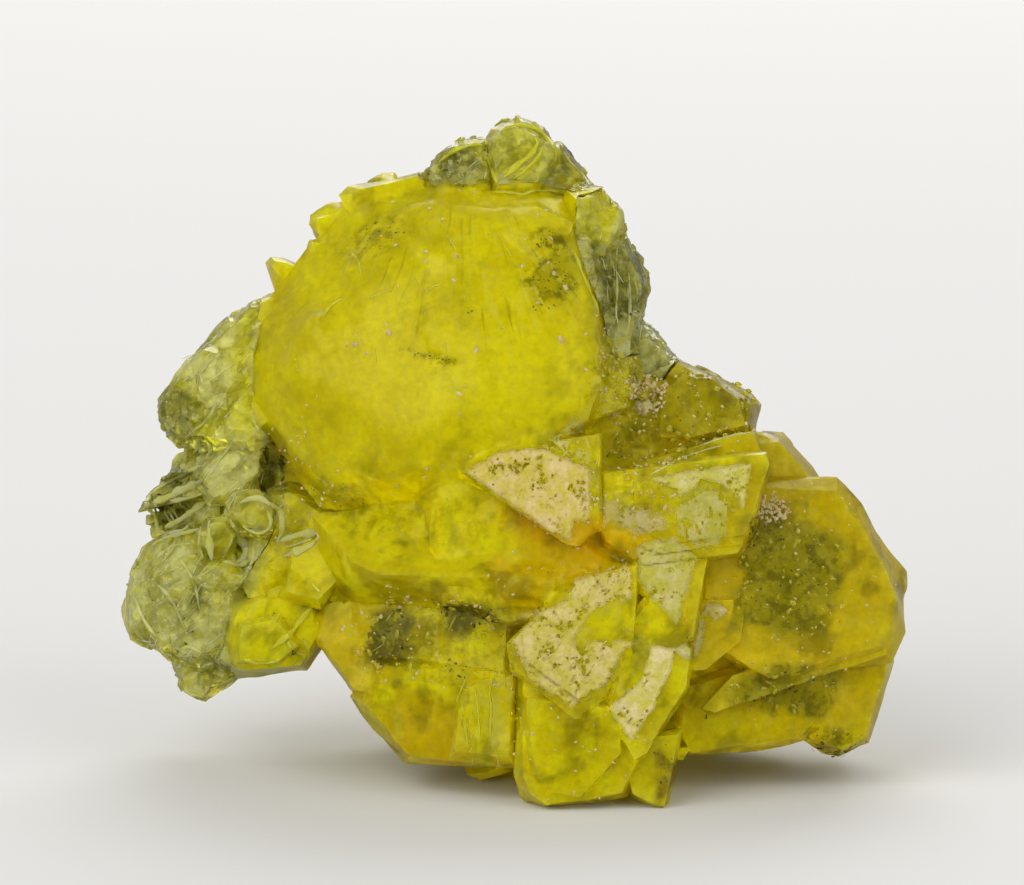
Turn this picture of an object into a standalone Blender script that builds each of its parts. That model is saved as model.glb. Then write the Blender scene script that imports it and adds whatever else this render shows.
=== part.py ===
"""A cluster of jouravskite crystals grown into one piece, broken off flat underneath.

Metres, +Z up, +X along the cluster's width, +Y from its front to its back.
The crystals are laid out in millimetres in the cluster's own upright frame, as
(across, depth, height), and the finished solid is then leaned to how it stands.
"""

from math import cos, pi, radians, sin
from random import Random

import bmesh
import bpy
from mathutils import Matrix, Vector

MM = 0.001

# How the cluster stands: its own upright frame leans towards the front by this much.
LEAN = radians(9.0)
FLOOR_HEIGHT = 0.0

# Habit shared by the tabular crystals.
BEVEL = 0.14
GROWTH_STEP = 0.05
UNEVEN = (0.4, 2.0)
FACE_FOLD = 0.035
RIM_WANDER = 0.22
FLANK_DEPTH = (0.5, 0.85)
FLANK_INSET = 0.14
BACK_INSET = 0.42
SUNK = 0.72

CLUSTER_YELLOW = (0.56, 0.47, 0.01, 1.0)


def clear_scene():
    for obj in list(bpy.data.objects):
        bpy.data.objects.remove(obj, do_unlink=True)


def crystal_material():
    material = bpy.data.materials.new("lemon_crystal")
    material.use_nodes = True
    shader = material.node_tree.nodes["Principled BSDF"]
    shader.inputs["Base Color"].default_value = CLUSTER_YELLOW
    shader.inputs["Roughness"].default_value = 0.25
    shader.inputs["Metallic"].default_value = 0.0
    shader.inputs["IOR"].default_value = 1.55
    return material


def hull(name, corners):
    """One convex crystal with these corners, given in millimetres."""
    mesh = bpy.data.meshes.new(name)
    shell = bmesh.new()
    for corner in corners:
        shell.verts.new(Vector(corner) * MM)
    made = bmesh.ops.convex_hull(shell, input=shell.verts)
    unused = [item for item in made["geom_interior"] + made["geom_unused"]
              if isinstance(item, bmesh.types.BMVert)]
    bmesh.ops.delete(shell, geom=list(set(unused)), context="VERTS")
    bmesh.ops.dissolve_limit(shell, angle_limit=radians(0.5), verts=shell.verts,
                             edges=shell.edges)
    bmesh.ops.recalc_face_normals(shell, faces=shell.faces)
    shell.to_mesh(mesh)
    shell.free()
    crystal = bpy.data.objects.new(name, mesh)
    bpy.context.scene.collection.objects.link(crystal)
    return crystal


def middle(outline):
    across = sum(x for x, _ in outline) / len(outline)
    height = sum(z for _, z in outline) / len(outline)
    return across, height


def drawn_in(outline, distance, chance=None):
    """The outline with every corner moved about this far towards its middle."""
    centre = Vector(middle(outline))
    moved = []
    for corner in outline:
        inward = centre - Vector(corner)
        wear = chance.uniform(*UNEVEN) if chance else 1.0
        step = min(distance * wear, inward.length * 0.8)
        moved.append(Vector(corner) + inward.normalized() * step)
    return moved


def plate(name, outline, near, far, slope=(0.0, 0.0), bevel=BEVEL):
    """A tabular crystal: a flat front face with a bevelled rim, narrowing unevenly behind.

    near is the depth of the front face at its middle, and slope is how fast it falls
    back across and up. The rim keeps the outline, at a depth that varies round it.
    """
    across, height = middle(outline)
    chance = Random(name)
    size = max((Vector(corner) - Vector((across, height))).length for corner in outline)
    depth = far - near

    def front_depth(x, z):
        return near + slope[0] * (x - across) + slope[1] * (z - height)

    corners = [(x, front_depth(x, z) + chance.uniform(0.0, FACE_FOLD), z)
               for x, z in drawn_in(outline, bevel, chance)]
    corners += [(x, front_depth(x, z) + bevel * 1.3 + depth * chance.uniform(0.0, RIM_WANDER), z)
                for x, z in outline]
    corners += [(x, near + depth * chance.uniform(*FLANK_DEPTH), z)
                for x, z in drawn_in(outline, size * FLANK_INSET, chance)]
    corners += [(x, far - depth * chance.uniform(0.0, RIM_WANDER), z)
                for x, z in drawn_in(outline, size * BACK_INSET, chance)]
    return hull(name, corners)


def terraces(name, outline, near, far, slope, count, shrink, anchor):
    """Growth layers on a tabular crystal, each smaller than the last towards one corner."""
    fixed = Vector(outline[anchor])
    layers = []
    for layer in range(count):
        rim = [tuple(Vector(corner).lerp(fixed, shrink * layer)) for corner in outline]
        layers.append(plate(f"{name}_{layer}", rim, near - GROWTH_STEP * layer, far, slope,
                            bevel=GROWTH_STEP))
    return layers


def inside(outline, x, z):
    """Whether a point lies inside a convex outline, whichever way it is drawn."""
    turns = []
    for (x0, z0), (x1, z1) in zip(outline, outline[1:] + outline[:1]):
        turns.append((x1 - x0) * (z - z0) - (z1 - z0) * (x - x0))
    return min(turns) >= 0.0 or max(turns) <= 0.0


def pebbles(name, outline, near, slope, count, radii):
    """Small blunt crystals half sunk in a face, scattered inside its outline."""
    chance = Random(name)
    across, height = middle(outline)
    left, right = min(x for x, _ in outline), max(x for x, _ in outline)
    low, high = min(z for _, z in outline), max(z for _, z in outline)
    made = []
    while len(made) < count:
        x, z = chance.uniform(left, right), chance.uniform(low, high)
        if not inside(outline, x, z):
            continue
        radius = chance.uniform(*radii)
        depth = near + slope[0] * (x - across) + slope[1] * (z - height) + radius * SUNK
        made.append(prism(f"{name}_{len(made)}", (x, depth, z), radius,
                          radius * chance.uniform(1.6, 2.6), chance.uniform(-60, 60),
                          chance.uniform(20, 80), roll=chance.uniform(0, 60), sides=5))
    return made


def prism(name, centre, radius, length, turn, tilt, roll=0.0, tip=0.5, sides=6):
    """A many-sided crystal with blunt uneven ends, its long axis turned and tilted."""
    chance = Random(name)
    pose = Matrix.Rotation(radians(turn), 3, "Z") @ Matrix.Rotation(radians(tilt), 3, "X")
    widths = [chance.uniform(0.82, 1.0) for _ in range(sides)]
    corners = []
    for along, share in ((-1, tip), (-0.6, 1.0), (0.6, 1.0), (1, tip)):
        for side in range(sides):
            angle = side * 2 * pi / sides + radians(roll)
            reach = radius * share * widths[side]
            place = Vector((cos(angle) * reach, sin(angle) * reach,
                            (along + chance.uniform(-0.06, 0.06)) * length / 2))
            corners.append(Vector(centre) + pose @ place)
    return hull(name, corners)


# The upper front: one broad dome of lemon-yellow crystal in many gentle faces.
DOME_RIM = (
    (-4.5, -0.7, 6.3), (-4.5, -0.6, 7.4), (-4.0, -0.6, 8.1), (-3.3, -0.6, 8.55),
    (-2.95, -0.5, 9.2), (-2.7, -0.5, 9.75), (-1.5, -0.6, 10.0), (0.15, -0.6, 9.9),
    (1.2, -0.6, 9.7), (1.62, -0.8, 9.2), (1.58, -1.0, 7.95), (1.5, -1.4, 6.6),
    (1.3, -1.6, 5.9), (0.75, -1.9, 5.45), (-0.75, -1.9, 4.95), (-1.9, -1.6, 4.45),
    (-3.25, -1.2, 4.5), (-3.85, -0.9, 5.4),
)
DOME_SHOULDER = (
    (-3.95, -1.5, 6.4), (-3.9, -1.35, 7.3), (-3.4, -1.3, 8.0), (-2.75, -1.2, 8.75),
    (-2.2, -1.15, 9.35), (-1.2, -1.2, 9.65), (0.2, -1.3, 9.6), (1.0, -1.35, 9.3),
    (1.3, -1.6, 8.8), (1.15, -2.15, 8.4), (1.37, -2.35, 7.6), (1.43, -2.5, 6.5),
    (1.2, -2.55, 5.95), (0.6, -2.7, 5.6), (-0.8, -2.6, 5.15), (-2.0, -2.25, 4.8),
    (-3.0, -1.8, 4.9), (-3.5, -1.6, 5.4),
)
DOME_FACE = (
    (-2.8, -2.3, 6.4), (-2.75, -2.1, 7.4), (-2.1, -2.0, 8.3), (-1.2, -2.0, 8.8),
    (0.1, -2.1, 8.8), (0.75, -2.35, 8.3), (0.95, -2.7, 7.2), (0.85, -2.9, 6.3),
    (-0.2, -2.93, 5.8), (-1.6, -2.75, 5.6), (-1.4, -2.65, 7.2), (0.0, -2.8, 7.3),
    (-0.6, -2.98, 6.5),
)
DOME_BACK = (
    (-3.6, 1.6, 6.0), (-3.7, 1.4, 7.4), (-2.6, 1.6, 9.1), (-1.2, 2.0, 9.6), (0.4, 1.8, 9.5),
    (1.3, 1.5, 8.8), (1.3, 1.5, 6.4), (-2.4, 2.4, 6.4), (-0.6, 2.5, 8.2), (0.6, 2.3, 6.8),
)


def dome():
    return [
        hull("dome", DOME_RIM + DOME_SHOULDER + DOME_FACE + DOME_BACK),
        plate("dome_flake_left", [(-3.95, 6.6), (-3.7, 7.5), (-3.2, 7.9), (-2.9, 7.2),
                                  (-3.3, 6.3)],
              near=-1.98, far=0.0, slope=(-0.55, 0.18), bevel=0.05),
        plate("dome_flake_high", [(-2.9, 8.1), (-2.3, 8.9), (-1.5, 9.1), (-1.6, 8.6),
                                  (-2.4, 8.0)],
              near=-1.75, far=0.0, slope=(-0.3, 0.5), bevel=0.05),
        plate("dome_flake_low", [(-3.1, 5.2), (-2.6, 5.9), (-1.5, 5.7), (-1.4, 5.1),
                                 (-2.3, 4.85)],
              near=-2.5, far=0.0, slope=(-0.4, -0.1), bevel=0.05),
        plate("dome_flake_top", [(-0.9, 9.5), (0.4, 9.55), (1.0, 9.2), (0.9, 8.9),
                                 (-0.6, 9.0)],
              near=-1.83, far=0.0, slope=(-0.05, 0.95), bevel=0.05),
    ]


# Small teeth and knobs that step down the dome's upper left rim.
def rim_teeth():
    return [
        plate("tooth_high", [(-3.45, 9.2), (-3.42, 9.38), (-3.05, 9.58), (-2.7, 9.6), (-2.6, 9.0),
                             (-3.1, 8.75), (-3.3, 8.98)], near=-0.6, far=0.9),
        plate("tooth_middle", [(-3.45, 8.75), (-3.42, 8.95), (-3.2, 8.98), (-2.8, 8.6),
                               (-3.0, 8.1), (-3.5, 8.45)], near=-0.9, far=1.0),
        plate("tooth_low", [(-4.15, 8.57), (-4.05, 8.65), (-3.85, 8.63), (-3.5, 8.5), (-3.2, 8.0),
                            (-4.0, 8.1)], near=-0.6, far=0.9),
        plate("rim_knob", [(-2.45, 9.95), (-2.2, 10.07), (-2.0, 10.07), (-1.9, 9.9),
                           (-2.1, 9.5), (-2.6, 9.6)], near=-0.5, far=1.0),
        plate("rim_step", [(-2.95, 9.7), (-2.8, 9.85), (-2.1, 9.97), (-1.4, 10.1), (-1.3, 9.4),
                           (-2.7, 9.2)], near=-0.9, far=1.6),
    ]


# Clear, pebbly crystals behind the dome's top edge.
def crown():
    return [
        plate("crown_left", [(-1.35, 10.25), (-1.1, 10.5), (-0.8, 10.62), (-0.45, 10.65),
                             (-0.3, 9.7), (-1.3, 9.6), (-1.5, 10.1)],
              near=-1.0, far=1.5, slope=(0.0, 0.3)),
        plate("crown_round", [(-0.5, 10.6), (-0.4, 10.8), (-0.2, 10.93), (0.05, 11.0),
                              (0.35, 10.93), (0.55, 10.75), (0.68, 10.45), (0.6, 10.0),
                              (0.3, 9.6), (-0.4, 9.6)],
              near=-0.9, far=1.3, slope=(0.05, 0.35)),
        plate("crown_right", [(0.5, 10.55), (0.75, 10.57), (1.0, 10.3), (1.15, 10.1),
                              (1.28, 9.85), (1.3, 9.5), (0.4, 9.5)],
              near=-0.6, far=1.7, slope=(0.1, 0.25)),
        plate("crown_step", [(-1.45, 10.1), (-1.2, 10.3), (0.9, 10.2), (1.2, 9.9), (0.8, 9.3),
                             (-1.4, 9.3)],
              near=-0.7, far=2.2, slope=(0.0, 0.2)),
    ] + pebbles("crown_pebble", [(-1.05, 10.15), (-0.6, 10.3), (-0.5, 9.8), (-1.1, 9.8)],
                -1.0, (0.0, 0.3), 7, (0.2, 0.36))


# The thin see-through strip that runs down the dome's right side.
def right_strip():
    return [
        plate("strip_upper", [(1.2, 9.85), (1.5, 9.8), (1.8, 9.45), (1.85, 9.0), (1.5, 8.5),
                              (0.8, 8.8), (0.8, 9.8)], near=-1.5, far=1.5, slope=(0.3, 0.2)),
        plate("strip_middle", [(1.4, 9.1), (1.85, 8.97), (2.1, 8.62), (2.17, 8.15), (2.05, 7.57),
                               (1.5, 7.3), (1.0, 8.0)], near=-1.45, far=1.6, slope=(0.4, 0.1)),
        plate("strip_lower", [(1.2, 8.0), (2.05, 7.7), (2.1, 6.8), (1.9, 6.0), (1.1, 5.8)],
              near=-1.9, far=1.6, slope=(0.35, 0.1)),
    ] + pebbles("strip_pebble", [(1.45, 9.2), (1.75, 8.6), (1.75, 7.2), (1.5, 7.2),
                                 (1.3, 8.3)],
                -1.5, (0.35, 0.15), 9, (0.2, 0.36))


# The squarish crystal that stands out as a shoulder on the right.
def right_shoulder():
    return [
        plate("shoulder", [(2.1, 6.75), (2.6, 7.0), (2.9, 6.87), (3.25, 6.75), (3.45, 6.6),
                           (3.9, 6.43), (4.07, 6.2), (4.0, 5.75), (3.1, 5.3), (2.0, 5.3)],
              near=-1.35, far=2.2, slope=(0.12, 0.1)),
        plate("shoulder_ledge", [(2.3, 6.5), (2.75, 6.85), (3.3, 6.6), (3.8, 6.3), (3.85, 5.85),
                                 (3.0, 5.6), (2.3, 5.6)],
              near=-1.55, far=1.0, slope=(0.12, 0.1), bevel=0.08),
        plate("shoulder_pale", [(2.05, 7.45), (2.13, 7.56), (2.25, 7.53), (2.45, 7.2),
                                (2.65, 6.97), (2.5, 6.3), (1.6, 6.2), (1.5, 7.3)],
              near=-1.3, far=1.5, slope=(0.2, 0.15)),
        plate("shoulder_chip", [(1.75, 6.48), (1.95, 6.52), (2.0, 6.32), (1.8, 6.28)],
              near=-1.95, far=-1.0, bevel=0.03),
    ]


# The sunken floor between the dome, the shoulder and the frosted plates.
def middle_recess():
    return [
        plate("recess_floor", [(1.0, 6.2), (2.3, 6.1), (3.1, 5.9), (3.3, 5.0), (1.0, 4.9)],
              near=-1.55, far=2.0, slope=(0.05, 0.0)),
        plate("recess_ledge", [(1.9, 5.2), (2.6, 5.45), (3.1, 5.6), (4.0, 5.8), (4.15, 5.3),
                               (2.0, 4.9)],
              near=-2.0, far=1.5, slope=(0.0, 0.1), bevel=0.08),
    ]


# Frosted triangular plates in the middle, all facing the same way.
FROSTED_SLOPE = (0.06, 0.12)


def frosted_plates():
    left = terraces("frosted_left", [(-0.88, 5.1), (-0.17, 5.57), (1.42, 5.75), (1.45, 4.2),
                                     (1.05, 3.8), (0.75, 3.93)],
                    -3.0, 0.5, FROSTED_SLOPE, 2, 0.12, 0)
    right = terraces("frosted_right", [(1.42, 5.1), (3.08, 5.37), (4.12, 5.43), (4.2, 5.2),
                                       (3.95, 4.1), (3.7, 3.7), (2.08, 3.55), (1.42, 3.95)],
                     -2.75, 0.5, FROSTED_SLOPE, 3, 0.09, 2)
    tail = terraces("frosted_tail", [(1.88, 3.9), (3.2, 3.8), (2.95, 2.3), (2.6, 2.2),
                                     (1.88, 3.4)],
                    -2.85, 0.5, FROSTED_SLOPE, 2, 0.14, 0)
    low = terraces("frosted_low", [(-0.15, 2.3), (0.93, 3.4), (2.05, 3.65), (2.0, 2.1),
                                   (1.25, 1.15), (0.98, 1.0), (-0.08, 1.83)],
                   -3.1, 0.5, FROSTED_SLOPE, 2, 0.1, 2)
    point = terraces("frosted_point", [(1.5, 1.2), (1.95, 0.38), (2.15, 0.42), (2.85, 1.5),
                                       (2.9, 2.2), (2.2, 3.2), (1.6, 2.5)],
                     -3.0, 0.5, FROSTED_SLOPE, 2, 0.1, 4)
    side = terraces("frosted_side", [(2.75, 3.0), (3.85, 3.05), (3.75, 2.3), (3.1, 1.8),
                                     (2.65, 1.85)],
                    -2.35, 0.5, FROSTED_SLOPE, 2, 0.2, 0)
    return left + right + tail + low + point + side


# The orange heart between the plates, set back a little, with a rounded lower face.
def orange_heart():
    return [
        plate("heart", [(-1.5, 4.95), (-0.75, 5.1), (1.25, 3.95), (1.9, 3.5), (1.0, 2.8),
                        (-0.1, 2.55), (-1.25, 2.95), (-1.5, 3.95)],
              near=-2.6, far=0.5, slope=(-0.05, 0.05)),
        plate("heart_oval", [(-0.45, 3.3), (-0.2, 3.55), (0.3, 3.65), (0.8, 3.55), (0.95, 3.3),
                             (0.7, 2.95), (0.2, 2.8), (-0.3, 2.95)],
              near=-2.95, far=0.0, slope=(0.0, -0.15), bevel=0.2),
    ]


# The large tabular crystal on the right, with a ridge across it and a chipped foot.
def right_block():
    return [
        plate("block_face", [(3.0, 5.1), (5.3, 5.0), (5.72, 4.57), (5.95, 4.1), (6.47, 3.43),
                             (6.37, 2.95), (6.45, 2.45), (6.22, 1.95), (4.1, 1.6), (3.0, 2.3)],
              near=-1.95, far=1.9, slope=(0.14, 0.03), bevel=0.2),
        plate("block_head", [(3.0, 5.4), (4.0, 5.77), (4.45, 5.75), (4.93, 5.2), (5.3, 4.6),
                             (3.0, 4.3)],
              near=-1.75, far=2.0, slope=(0.2, 0.08)),
        plate("block_foot", [(4.6, 2.3), (6.17, 2.3), (6.3, 1.93), (6.08, 1.2), (5.87, 0.6),
                             (5.38, 0.35), (5.12, 0.45), (4.75, 0.68)],
              near=-1.35, far=2.2, slope=(0.16, -0.1)),
        plate("block_heel", [(2.6, 0.9), (2.85, 0.43), (3.75, 0.43), (4.25, 0.5), (4.8, 0.67),
                             (5.3, 1.3), (5.1, 2.1), (3.5, 1.85), (2.7, 1.6)],
              near=-1.6, far=2.6, slope=(0.1, -0.12)),
        plate("block_ridge", [(3.05, 1.2), (3.5, 1.75), (4.2, 2.0), (5.3, 2.25), (6.1, 2.3),
                              (6.2, 2.1), (5.2, 1.95), (4.2, 1.75), (3.6, 1.5), (3.2, 1.1)],
              near=-1.95, far=0.5, slope=(0.14, 0.0), bevel=0.06),
    ]


# The broken column that carries the front of the cluster.
def front_column():
    return [
        plate("column", [(0.0, 1.9), (0.0, 0.1), (0.08, -0.26), (0.37, -0.52), (1.13, -0.46),
                         (1.25, -0.36), (1.85, -0.2), (2.4, 0.9), (2.3, 1.9)],
              near=-2.9, far=1.8, slope=(0.03, -0.05)),
        plate("column_toe", [(1.6, 0.7), (1.87, -0.21), (2.25, -0.45), (2.48, -0.5),
                             (2.55, -0.2), (2.68, 0.2), (2.75, 0.9)],
              near=-2.7, far=0.4, slope=(0.1, 0.0)),
        plate("column_face", [(0.12, 1.5), (0.2, 0.1), (0.45, -0.3), (1.1, -0.3), (1.8, 0.5),
                              (1.7, 1.3)],
              near=-3.05, far=-1.0, slope=(0.0, -0.1), bevel=0.12),
        prism("column_knob", (2.75, -1.6, 0.45), 0.11, 0.25, 20, 60),
    ]


# The smooth amber block of the lower left, under the dome.
def lower_left_block():
    return [
        plate("amber_upper", [(-3.45, 2.4), (-3.05, 1.9), (-2.7, 1.47), (-1.0, 1.0), (0.05, 1.3),
                              (0.05, 3.0), (-2.4, 3.2), (-3.3, 3.0)],
              near=-1.7, far=2.2, slope=(-0.3, 0.05)),
        plate("amber_lower", [(-2.72, 1.38), (-2.3, 0.8), (-1.83, 0.27), (-0.9, 0.23),
                              (0.02, 0.2), (0.05, 1.9), (-2.3, 2.1)],
              near=-1.9, far=2.0, slope=(-0.35, -0.15)),
        plate("amber_streak", [(-0.95, 1.6), (-0.6, 1.75), (0.0, 1.8), (0.0, 0.25), (-1.1, 0.35)],
              near=-2.45, far=0.0, slope=(-0.1, 0.0)),
        plate("amber_toe", [(-0.92, 0.5), (-0.8, 0.06), (-0.57, -0.05), (-0.05, 0.12),
                            (0.0, 0.6)],
              near=-0.9, far=1.1, slope=(0.0, 0.0)),
    ]


# A pointed crystal lying across, with its tip to the left and a ridge along its front.
def lying_crystal():
    return [
        hull("lying_crystal", [(-3.37, -1.5, 4.4), (-2.8, -1.5, 4.5), (-1.5, -1.9, 4.65),
                               (-0.3, -2.2, 4.4), (-2.65, -2.35, 3.6), (-2.2, -2.6, 3.42),
                               (-0.3, -2.85, 3.35), (-3.0, -1.3, 2.95), (-0.5, -2.0, 2.75),
                               (-2.6, 0.5, 4.0), (-0.5, 0.5, 3.5)]),
        plate("dark_facet", [(-3.75, 3.9), (-3.3, 4.05), (-2.6, 3.6), (-3.2, 2.8), (-3.9, 3.0)],
              near=-1.5, far=2.0, slope=(-0.15, 0.3)),
    ]


# Pale, glassy crystals on the left: a fan of thin blades over two rounded lobes.
def left_lobes():
    lobes = [
        plate("pale_shoulder", [(-5.95, 6.3), (-5.7, 6.6), (-5.4, 6.95), (-4.95, 7.4),
                                (-4.85, 7.6), (-4.35, 7.95), (-3.95, 8.13), (-3.5, 7.5),
                                (-3.5, 6.0), (-4.4, 5.45), (-5.63, 5.43), (-5.83, 5.67)],
              near=-0.7, far=2.5, slope=(-0.35, 0.15), bevel=0.2),
        plate("pale_facet", [(-5.3, 6.95), (-4.5, 6.4), (-5.15, 6.2)],
              near=-0.8, far=0.5, slope=(-0.1, 0.1), bevel=0.08),
        plate("glass_round", [(-5.3, 5.5), (-4.8, 5.7), (-4.2, 5.6), (-4.1, 5.1), (-4.3, 4.6),
                              (-5.1, 4.5), (-5.4, 4.95)],
              near=-0.55, far=2.0, slope=(-0.2, 0.1), bevel=0.2),
        plate("hollow_rim", [(-4.2, 5.7), (-3.6, 5.6), (-3.0, 4.6), (-3.4, 4.2), (-4.3, 4.5)],
              near=-0.2, far=1.6, slope=(0.0, 0.0)),
        plate("round_upper", [(-4.83, 4.45), (-4.65, 4.75), (-4.25, 4.82), (-3.98, 4.6),
                              (-3.95, 4.2), (-4.2, 3.95), (-4.6, 4.0)],
              near=-1.25, far=1.4, slope=(0.0, 0.0), bevel=0.1),
        plate("round_lower", [(-5.3, 4.1), (-5.1, 4.4), (-4.75, 4.4), (-4.55, 4.0),
                              (-4.7, 3.55), (-5.1, 3.55)],
              near=-1.0, far=1.4, slope=(0.0, 0.0), bevel=0.1),
        prism("pale_rod", (-3.68, -1.5, 3.93), 0.16, 0.95, 0, 0),
        plate("left_lobe", [(-6.52, 2.7), (-6.47, 3.1), (-6.33, 3.6), (-6.1, 3.97),
                            (-5.4, 4.3), (-4.4, 3.7), (-4.4, 2.2), (-5.25, 1.8), (-5.75, 1.95),
                            (-6.25, 2.25), (-6.47, 2.5)],
              near=-0.45, far=3.0, slope=(-0.45, 0.0), bevel=0.25),
        plate("left_lobe_foot", [(-5.72, 1.75), (-5.8, 2.05), (-5.5, 2.5), (-4.5, 2.5),
                                 (-4.6, 1.65), (-5.17, 1.25), (-5.5, 1.42)],
              near=-0.1, far=2.9, slope=(-0.3, -0.2)),
        plate("yellow_foot", [(-4.75, 2.95), (-4.25, 3.2), (-3.2, 3.1), (-3.1, 2.35),
                              (-3.45, 1.77), (-4.6, 1.65), (-4.95, 1.95)],
              near=-1.15, far=2.4, slope=(-0.1, -0.1)),
        plate("yellow_foot_step", [(-4.6, 2.6), (-3.9, 2.75), (-3.5, 2.2), (-3.9, 1.9),
                                   (-4.6, 1.95)],
              near=-1.45, far=0.0, slope=(-0.1, -0.1), bevel=0.08),
        plate("green_neck", [(-4.2, 4.8), (-3.75, 4.95), (-3.1, 4.6), (-2.6, 3.6), (-3.1, 2.7),
                             (-4.5, 2.9), (-4.65, 3.8)],
              near=-1.05, far=2.4, slope=(-0.2, 0.05)),
    ]
    lobes += pebbles("shoulder_pebble", [(-5.35, 6.2), (-4.6, 6.95), (-4.0, 6.9), (-4.4, 5.9),
                                         (-5.3, 5.85)],
                     -0.75, (-0.35, 0.15), 8, (0.35, 0.6))
    lobes += pebbles("lobe_pebble", [(-5.85, 2.8), (-5.75, 3.4), (-4.8, 3.5), (-4.8, 2.2),
                                     (-5.5, 2.3)],
                     -0.5, (-0.45, 0.0), 12, (0.35, 0.62))
    lobes += pebbles("neck_pebble", [(-4.9, 5.4), (-3.6, 4.9), (-2.9, 3.6), (-4.0, 3.1),
                                     (-4.9, 3.6)],
                     -1.0, (0.0, 0.0), 8, (0.25, 0.45))
    return lobes


# Each blade's outer edge, low end then high end, and the depth of its front edge.
BLADE_EDGES = (
    ((-5.93, 4.93), (-5.63, 5.43), 0.15),
    ((-6.22, 4.66), (-5.95, 4.95), 0.55),
    ((-6.3, 4.42), (-6.24, 4.6), 0.3),
    ((-6.2, 4.2), (-6.18, 4.36), 0.75),
    ((-6.08, 4.0), (-6.14, 4.14), 0.45),
)
BLADE_ROOT = (-4.9, 5.25)
BLADE_ROOT_STEP = 0.24
BLADE_ROOT_WIDTH = 0.34


def blade_fan():
    """Thin blades lying one on another, standing out to the left from one root."""
    blades = []
    for index, (low, high, near) in enumerate(BLADE_EDGES):
        root = BLADE_ROOT[1] - BLADE_ROOT_STEP * index
        outline = [low, high, (BLADE_ROOT[0], root + BLADE_ROOT_WIDTH),
                   (BLADE_ROOT[0], root)]
        blades.append(plate(f"blade_{index}", outline, near, 2.3 - near * 0.4,
                            slope=(-0.5, 0.1), bevel=0.035))
    return blades


# The inside that joins the crystals, and the broad broken foot behind the column.
def body():
    return [
        hull("body_upper", [(-3.9, 0.6, 5.2), (-4.2, 0.6, 6.8), (-3.6, 0.6, 8.0),
                            (-2.7, 0.6, 9.3), (-1.0, 0.6, 9.9), (0.9, 0.6, 9.7),
                            (1.6, 0.6, 8.8), (1.8, 0.6, 7.0), (1.8, 0.6, 5.5),
                            (-2.8, 3.0, 5.5), (-2.9, 3.0, 7.4), (-1.8, 3.0, 8.6),
                            (0.2, 3.0, 8.8), (1.0, 3.0, 7.6), (1.2, 3.0, 5.8),
                            (-1.0, -1.5, 6.0), (0.5, -1.5, 8.0)]),
        hull("body_lower", [(-4.5, 0.8, 4.5), (-3.2, 0.8, 5.6), (2.0, 0.8, 6.0),
                            (3.8, 0.8, 5.9), (5.1, 0.8, 4.7), (6.0, 0.8, 3.2),
                            (5.7, 0.8, 1.7), (4.4, 0.8, 0.85), (1.0, 0.8, 0.3),
                            (-1.4, 0.8, 0.5), (-4.0, 0.8, 3.2),
                            (-3.2, 3.2, 4.2), (2.8, 3.2, 5.0), (4.4, 3.2, 3.4),
                            (3.8, 3.2, 1.6), (0.5, 3.2, 1.0), (-1.6, 3.2, 1.4),
                            (-3.2, 3.2, 2.9), (0.0, -1.8, 3.6), (2.0, -1.8, 3.0)]),
        hull("foot_front", [(0.3, -1.5, -0.5), (2.3, -1.5, -0.5), (2.3, 2.6, -0.1),
                            (0.1, 2.6, -0.1), (0.2, -1.5, 1.2), (2.4, -1.5, 1.2),
                            (2.5, 3.0, 1.6), (-0.2, 3.0, 1.6)]),
        hull("foot_back", [(-1.2, 2.0, -0.1), (-0.4, 1.8, -0.1), (2.4, 2.0, -0.1),
                           (3.4, 2.9, -0.1), (3.3, 3.4, -0.1), (1.9, 4.1, -0.1),
                           (-0.3, 3.9, -0.1), (-1.2, 3.2, -0.1), (-1.7, 1.8, 1.6),
                           (4.1, 2.2, 1.9), (1.6, 4.3, 1.0), (-0.6, 4.1, 1.2)]),
    ]


# Blunt six-sided crystals over the back: across, depth, height, radius, length, turn, tilt.
BACK_CRYSTALS = (
    (-1.7, 2.3, 6.9, 1.6, 3.0, 25, 62),
    (0.3, 2.6, 5.2, 1.4, 2.6, -35, 70),
    (2.4, 2.3, 4.3, 1.5, 3.0, 15, 48),
    (-2.6, 2.4, 4.2, 1.35, 2.6, 60, 75),
    (4.3, 1.6, 3.1, 1.45, 2.6, -20, 66),
    (5.1, 1.2, 2.0, 0.95, 1.8, 30, 35),
    (0.9, 2.7, 2.6, 1.25, 2.6, 40, 82),
    (-0.1, 1.5, 8.4, 1.2, 2.4, -15, 40),
    (-3.3, 1.5, 6.6, 1.05, 2.2, 10, 55),
    (-5.0, 1.8, 3.0, 1.05, 2.2, 35, 60),
    (-4.9, 1.7, 6.4, 0.75, 1.5, -30, 50),
    (-1.2, 2.6, 2.3, 1.15, 2.2, -50, 55),
    (3.0, 2.8, 1.9, 1.05, 2.0, 10, 30),
    (2.9, 1.4, 6.0, 0.8, 1.7, 55, 60),
    (-0.9, 3.3, 1.3, 0.9, 1.5, 20, 75),
    (1.5, 3.6, 1.2, 0.95, 1.6, -30, 60),
    (1.3, 1.7, 7.4, 0.75, 1.6, 30, 65),
)
SMALL_CRYSTALS_EACH = 1


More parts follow.
